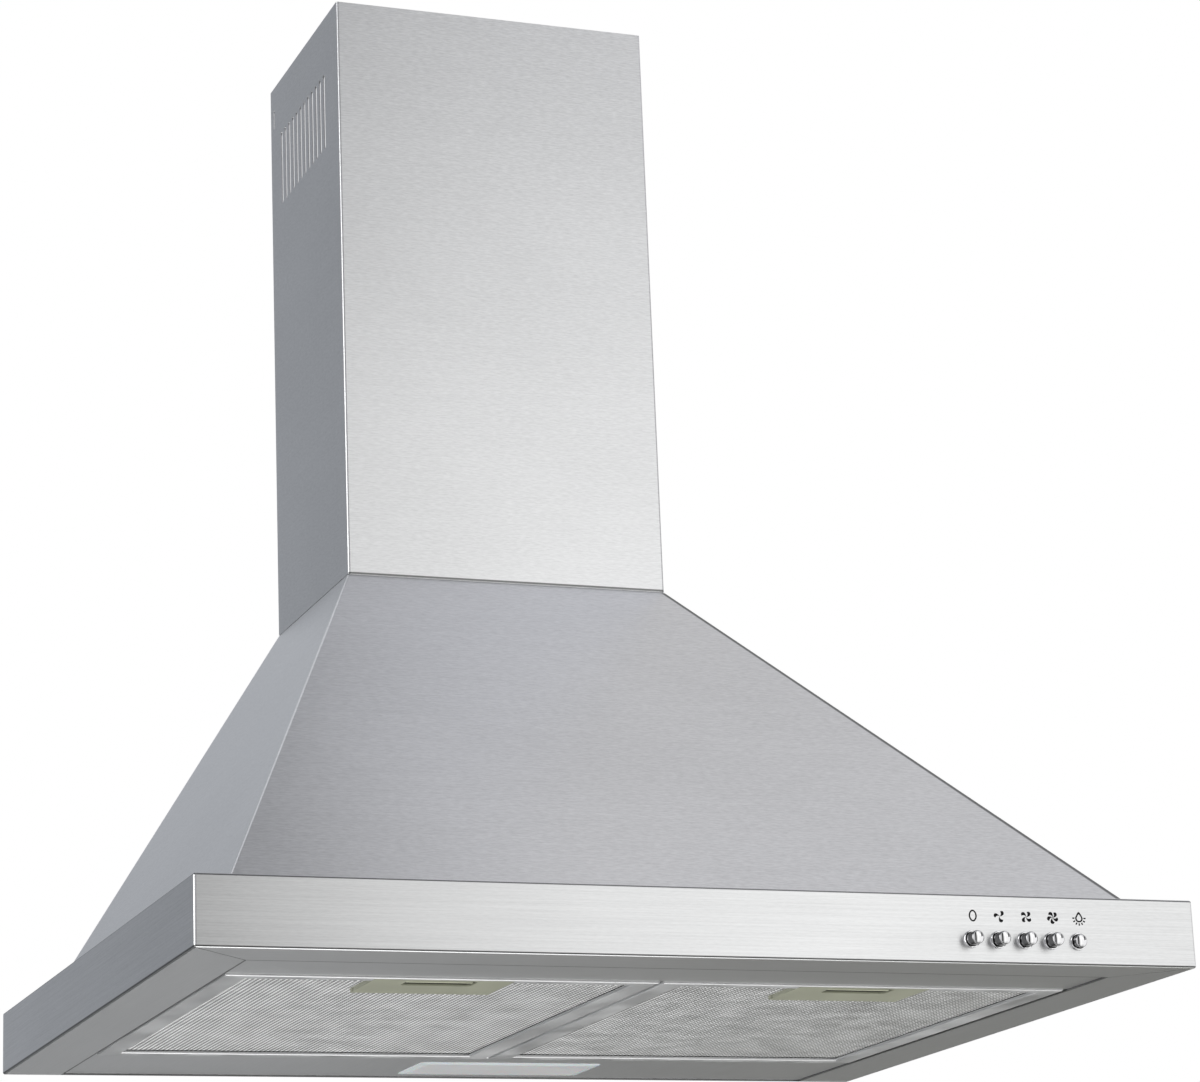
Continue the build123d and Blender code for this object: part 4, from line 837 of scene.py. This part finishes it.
class HOOD_OT_pictograms(bpy.types.Operator):
    """Print a sign over each button"""

    bl_idname = "hood.pictograms"
    bl_label = "Print pictograms"

    def execute(self, context):
        settings = context.scene.hood_print
        ink = moulded_plastic("print_ink", context.scene.hood_plastic.ink, 0.7, 0.0004, 0.00001, 0.15)
        ink.node_tree.nodes["Principled BSDF"].inputs["Specular IOR Level"].default_value = 0.1
        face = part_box("rim_frame")[0].y
        depth = (0.0, settings.film, 0.0)
        for button in BUTTONS:
            low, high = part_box(f"button_{button}")
            centre = (low + high) / 2
            place = (centre.x + settings.shift, face - settings.film, centre.z + settings.rise)
            if button == "off":
                oval = settings.oval_width / 2, settings.oval_height / 2
                grids = [ring_sign(*oval, settings.stroke, place, pointed=0.12)]
            elif button == "light":
                grids = [bulb_sign(settings.bulb_radius, settings.stroke, place)]
                grids += [
                    ray_sign(
                        settings.bulb_radius + 0.6 * settings.stroke,
                        settings.bulb_radius + 2.1 * settings.stroke,
                        settings.stroke * 0.9,
                        angle,
                        place,
                    )
                    for angle in np.linspace(-math.pi, 0.0, settings.ray_count)
                ]
            else:
                blades = 2 + int(button[-1])
                starts = np.arange(blades) * 2 * math.pi / blades + settings.first_blade
                blade = settings.fan_radius, settings.blade_spread
                grids = [blade_sign(*blade, start, place) for start in starts]
            parts = join_parts([slab_from_grid(grid, depth) for grid in grids])
            put_mesh(f"sign_{button}", *parts, ink, "hood_body", "dark_plastic")
        return {"FINISHED"}


def card(name, corners, paint):
    """A reflection card: a flat sheet that only glossy rays see, painted by its X, Y and Z."""
    made = Finish(name)
    glow = made.node("Emission", {"Color": paint(made, *made.axes()), "Strength": 1.0})
    output = made.tree.nodes["Material Output"]
    made.tree.links.new(glow.outputs[0], output.inputs["Surface"])
    made.material.cycles.emission_sampling = "NONE"
    sheet = put_mesh(name, np.array(corners), [[0, 1, 2, 3]], made.material, None, None)
    sheet.visible_camera = False
    sheet.visible_diffuse = False
    sheet.visible_transmission = False
    sheet.visible_shadow = False


def front_paint(made, x, y, z):
    """Bright window, dimmer at its top and right end, a dark post at its left and a pale wall beyond."""
    bright, dusk = (1.34, 1.34, 1.33), (0.61, 0.61, 0.62)
    post, pale = (0.03, 0.03, 0.03), (0.62, 0.62, 0.63)
    level = made.math("MULTIPLY", made.remap(x, 0.88, 1.08, 0.62, 0.95), made.remap(x, 1.0, 0.84, 1.2, 1.5))
    level = made.math("MULTIPLY", level, made.remap(z, 0.86, 0.98, 0.2, 0.75))
    window = made.shade(made.mix(made.ramp(z, 0.85, 1.75), bright, dusk), level)
    ends = made.math("MULTIPLY", made.remap(z, 0.45, 1.0, -0.85, -0.5), made.remap(z, 1.0, 0.0, 2.0, 2.4))
    lit = made.math("MULTIPLY", ends, made.ramp(x, 0.02, 0.46))
    return made.mix(lit, made.mix(made.ramp(x, -0.6, -0.3), pale, post), window)


def back_paint(made, x, y, z):
    """Cool wall, lighter to the middle, with a dark post and a pale right end above, and warmer below."""
    cool, light = (0.206, 0.218, 0.237), (0.575, 0.595, 0.633)
    post, pale = (0.04, 0.04, 0.042), (0.45, 0.455, 0.465)
    grey, warm = (0.130, 0.134, 0.136), (0.108, 0.108, 0.099)
    upper = made.mix(made.ramp(x, -1.36, 0.3), cool, light)
    upper = made.mix(made.ramp(x, 0.5, 0.8), upper, post)
    upper = made.mix(made.ramp(x, 1.1, 1.6), upper, pale)
    lower = made.mix(made.ramp(x, 0.5, 1.3), grey, warm)
    return made.mix(made.ramp(z, -0.6, -0.1), lower, upper)


def ceiling_paint(made, x, y, z):
    """Lilac ceiling, paler across the middle, with a dark beam, a bright lamp and a dim left end."""
    dim, bright = (0.30, 0.315, 0.34), (0.95, 0.96, 1.0)
    lilac, pale = (0.635, 0.63, 0.642), (0.93, 0.935, 1.0)
    beam = (0.10, 0.105, 0.115)
    right, left = made.ramp(x, 0.08, 0.42), made.remap(x, 1.0, 0.0, -0.04, 0.04)
    lamp = made.mix(made.ramp(x, -0.45, -0.30), dim, bright)
    band = made.remap(made.apart(y, -0.85), 1.0, 0.0, 0.35, 0.75)
    tint = made.mix(made.ramp(x, 0.0, 0.1), lamp, made.mix(band, lilac, pale))
    lit = made.math("MULTIPLY", made.math("MAXIMUM", left, right), made.remap(y, 0.15, 1.0, -2.0, -1.6))
    return made.mix(lit, beam, tint)


def floor_paint(made, x, y, z):
    """Pale sheet that is brighter to the left, dimmer to the back and dark to the front."""
    dark, bright, warm = (0.04, 0.04, 0.04), (2.0, 2.0, 2.0), (0.70, 0.705, 0.66)
    pale = made.mix(made.ramp(x, 0.6, 1.7), bright, warm)
    pale = made.shade(pale, made.remap(y, 1.0, 0.55, 1.0, 1.6))
    return made.mix(made.ramp(y, -1.2, -0.8), dark, pale)


def right_paint(made, x, y, z):
    """Pale wall with a dark front end."""
    dark, pale = (0.08, 0.08, 0.08), (0.5, 0.5, 0.51)
    return made.mix(made.ramp(y, -1.4, -1.0), dark, pale)


def softbox(name, place, aim, size, power):
    """A rectangular area light at place that faces aim."""
    lamp = bpy.data.lights.new(name, "AREA")
    lamp.shape = "RECTANGLE"
    lamp.size, lamp.size_y = size
    lamp.energy = power
    made = bpy.data.objects.new(name, lamp)
    made.location = place
    made.rotation_euler = (Vector(aim) - Vector(place)).to_track_quat("-Z", "Y").to_euler()
    bpy.context.scene.collection.objects.link(made)
    return made


def white_room(strength):
    """World that is white to the camera, in reflections and through glass, and dimmer on matt surfaces."""
    world = bpy.data.worlds.new("white_room")
    bpy.context.scene.world = world
    world.use_nodes = True
    nodes, links = world.node_tree.nodes, world.node_tree.links
    nodes.clear()
    path = nodes.new("ShaderNodeLightPath")
    seen = path.outputs["Is Camera Ray"]
    for kind in ("Is Glossy Ray", "Is Transmission Ray"):
        either = nodes.new("ShaderNodeMath")
        either.operation = "ADD"
        either.use_clamp = True
        links.new(seen, either.inputs[0])
        links.new(path.outputs[kind], either.inputs[1])
        seen = either.outputs[0]
    blend = nodes.new("ShaderNodeMixShader")
    links.new(seen, blend.inputs[0])
    for socket, level in ((1, strength), (2, 1.0)):
        light = nodes.new("ShaderNodeBackground")
        light.inputs["Color"].default_value = (1.0, 1.0, 1.0, 1.0)
        light.inputs["Strength"].default_value = level
        links.new(light.outputs[0], blend.inputs[socket])
    links.new(blend.outputs[0], nodes.new("ShaderNodeOutputWorld").inputs["Surface"])


def pale_floor(level):
    """Round pale floor that keeps shadows near the middle and turns white towards its edge."""
    made = Finish("pale_floor")
    distance = made.node("VectorMath", {0: made.place}, operation="LENGTH").outputs["Value"]
    near, far = abs(level) + 1.0, abs(level) + 4.0
    fade = made.ramp(distance, near, far)
    speck = made.noise((0.4, 0.4, 0.4), detail=3.0)
    made.set(Base_Color=made.shade((0.88, 0.88, 0.88), made.remap(speck, 0.985, 1.0)), Roughness=0.9)
    white = made.node("Emission", {"Color": (1.0, 1.0, 1.0, 1.0), "Strength": 1.0})
    blend = made.node("MixShader", {0: fade, 1: made.shader.outputs[0], 2: white.outputs[0]})
    made.tree.links.new(blend.outputs[0], made.tree.nodes["Material Output"].inputs["Surface"])
    made.material.cycles.emission_sampling = "NONE"
    radius, angle = np.meshgrid(np.linspace(0.01, 30, 8), np.linspace(0, 2 * np.pi, 49), indexing="ij")
    points = np.stack([radius * np.cos(angle), radius * np.sin(angle), np.full(radius.shape, level)], -1)
    number = np.arange(radius.size).reshape(radius.shape)
    quads = np.stack([number[:-1, :-1], number[1:, :-1], number[1:, 1:], number[:-1, 1:]], -1)
    floor = put_mesh("floor", points, quads.reshape(-1, 4), made.material, None, None)


def photo_camera(settings):
    """Camera at the photograph's place, turned by heading, pitch and roll."""
    heading, pitch, roll = settings.heading, settings.pitch, settings.roll
    ahead = Vector(
        (math.sin(heading) * math.cos(pitch), math.cos(heading) * math.cos(pitch), math.sin(pitch))
    )
    level = Vector((math.cos(heading), -math.sin(heading), 0.0))
    upright = level.cross(ahead)
    right = level * math.cos(roll) + upright * math.sin(roll)
    up = upright * math.cos(roll) - level * math.sin(roll)
    data = bpy.data.cameras.new("photo_camera")
    data.sensor_width = 36.0
    data.lens = settings.focal * data.sensor_width / PHOTO_WIDTH
    data.clip_end = 100.0
    made = bpy.data.objects.new("photo_camera", data)
    turn = Matrix((right, up, -ahead)).transposed().to_4x4()
    made.matrix_world = Matrix.Translation(settings.camera_place) @ turn
    bpy.context.scene.collection.objects.link(made)
    bpy.context.scene.camera = made


def upright_card(y, left, right, bottom, top):
    """Corners of a card that stands across the depth."""
    return ((left, y, bottom), (right, y, bottom), (right, y, top), (left, y, top))


def level_card(z, left, right, front, back):
    """Corners of a card that lies flat."""
    return ((left, front, z), (right, front, z), (right, back, z), (left, back, z))


def side_card(x, front, back, bottom, top):
    """Corners of a card that stands along the depth."""
    return ((x, front, bottom), (x, back, bottom), (x, back, top), (x, front, top))


CARDS = (
    ("front_card", upright_card(-2.6, -3.0, 3.5, -2.55, 2.6), front_paint),
    ("back_card", upright_card(2.2, -4.0, 4.0, -2.55, 1.5), back_paint),
    ("ceiling_card", level_card(1.5, -3.0, 3.5, -2.4, 2.2), ceiling_paint),
    ("floor_card", level_card(-2.5, -2.4, 2.4, -2.5, 2.1), floor_paint),
    ("right_card", side_card(2.6, -2.0, 1.8, 0.3, 1.5), right_paint),
)


class HOOD_OT_stage(bpy.types.Operator):
    """Set up the camera, the white room, the floor, softboxes and reflection cards"""

    bl_idname = "hood.stage"
    bl_label = "Set up stage"

    def execute(self, context):
        settings = context.scene.hood_stage
        context.scene.view_settings.view_transform = "Standard"
        photo_camera(settings)
        white_room(settings.room_light)
        pale_floor(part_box("rim_frame")[0].z - settings.floor_drop)
        key = softbox("key_softbox", (1.8, -2.6, 1.9), (0.0, -0.2, 0.0), (2.2, 1.8), settings.key_power)
        key.visible_glossy = False
        softbox("edge_softbox", (-2.6, -1.0, 0.5), (0.0, -0.2, 0.0), (0.8, 2.4), settings.edge_power)
        for name, corners, paint in CARDS:
            card(name, corners, paint)
        return {"FINISHED"}


STEPS = (HOOD_OT_sheet_metal, HOOD_OT_fittings, HOOD_OT_filter_mesh, HOOD_OT_pictograms, HOOD_OT_stage)
GROUPS = {
    "hood_metal": HoodMetalSettings,
    "hood_plastic": HoodPlasticSettings,
    "hood_filter": HoodFilterSettings,
    "hood_print": HoodPrintSettings,
    "hood_stage": HoodStageSettings,
}


class HOOD_PT_panel(bpy.types.Panel):
    """Settings and steps of the range hood"""

    bl_idname = "HOOD_PT_panel"
    bl_label = "Range hood"
    bl_space_type = "VIEW_3D"
    bl_region_type = "UI"
    bl_category = "Range hood"

    def draw(self, context):
        for step in STEPS:
            self.layout.operator(step.bl_idname)
        for name, group in GROUPS.items():
            box = self.layout.box()
            for setting in group.__annotations__:
                box.prop(getattr(context.scene, name), setting)


CLASSES = (*GROUPS.values(), *STEPS, HOOD_PT_panel)


def register():
    for kind in CLASSES:
        bpy.utils.register_class(kind)
    for name, group in GROUPS.items():
        setattr(bpy.types.Scene, name, PointerProperty(type=group))


def unregister():
    for name in GROUPS:
        delattr(bpy.types.Scene, name)
    for kind in reversed(CLASSES):
        bpy.utils.unregister_class(kind)


def main():
    """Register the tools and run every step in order."""
    register()
    bpy.ops.hood.sheet_metal()
    bpy.ops.hood.fittings()
    bpy.ops.hood.filter_mesh()
    bpy.ops.hood.pictograms()
    bpy.ops.hood.stage()


if __name__ == "__main__":
    main()
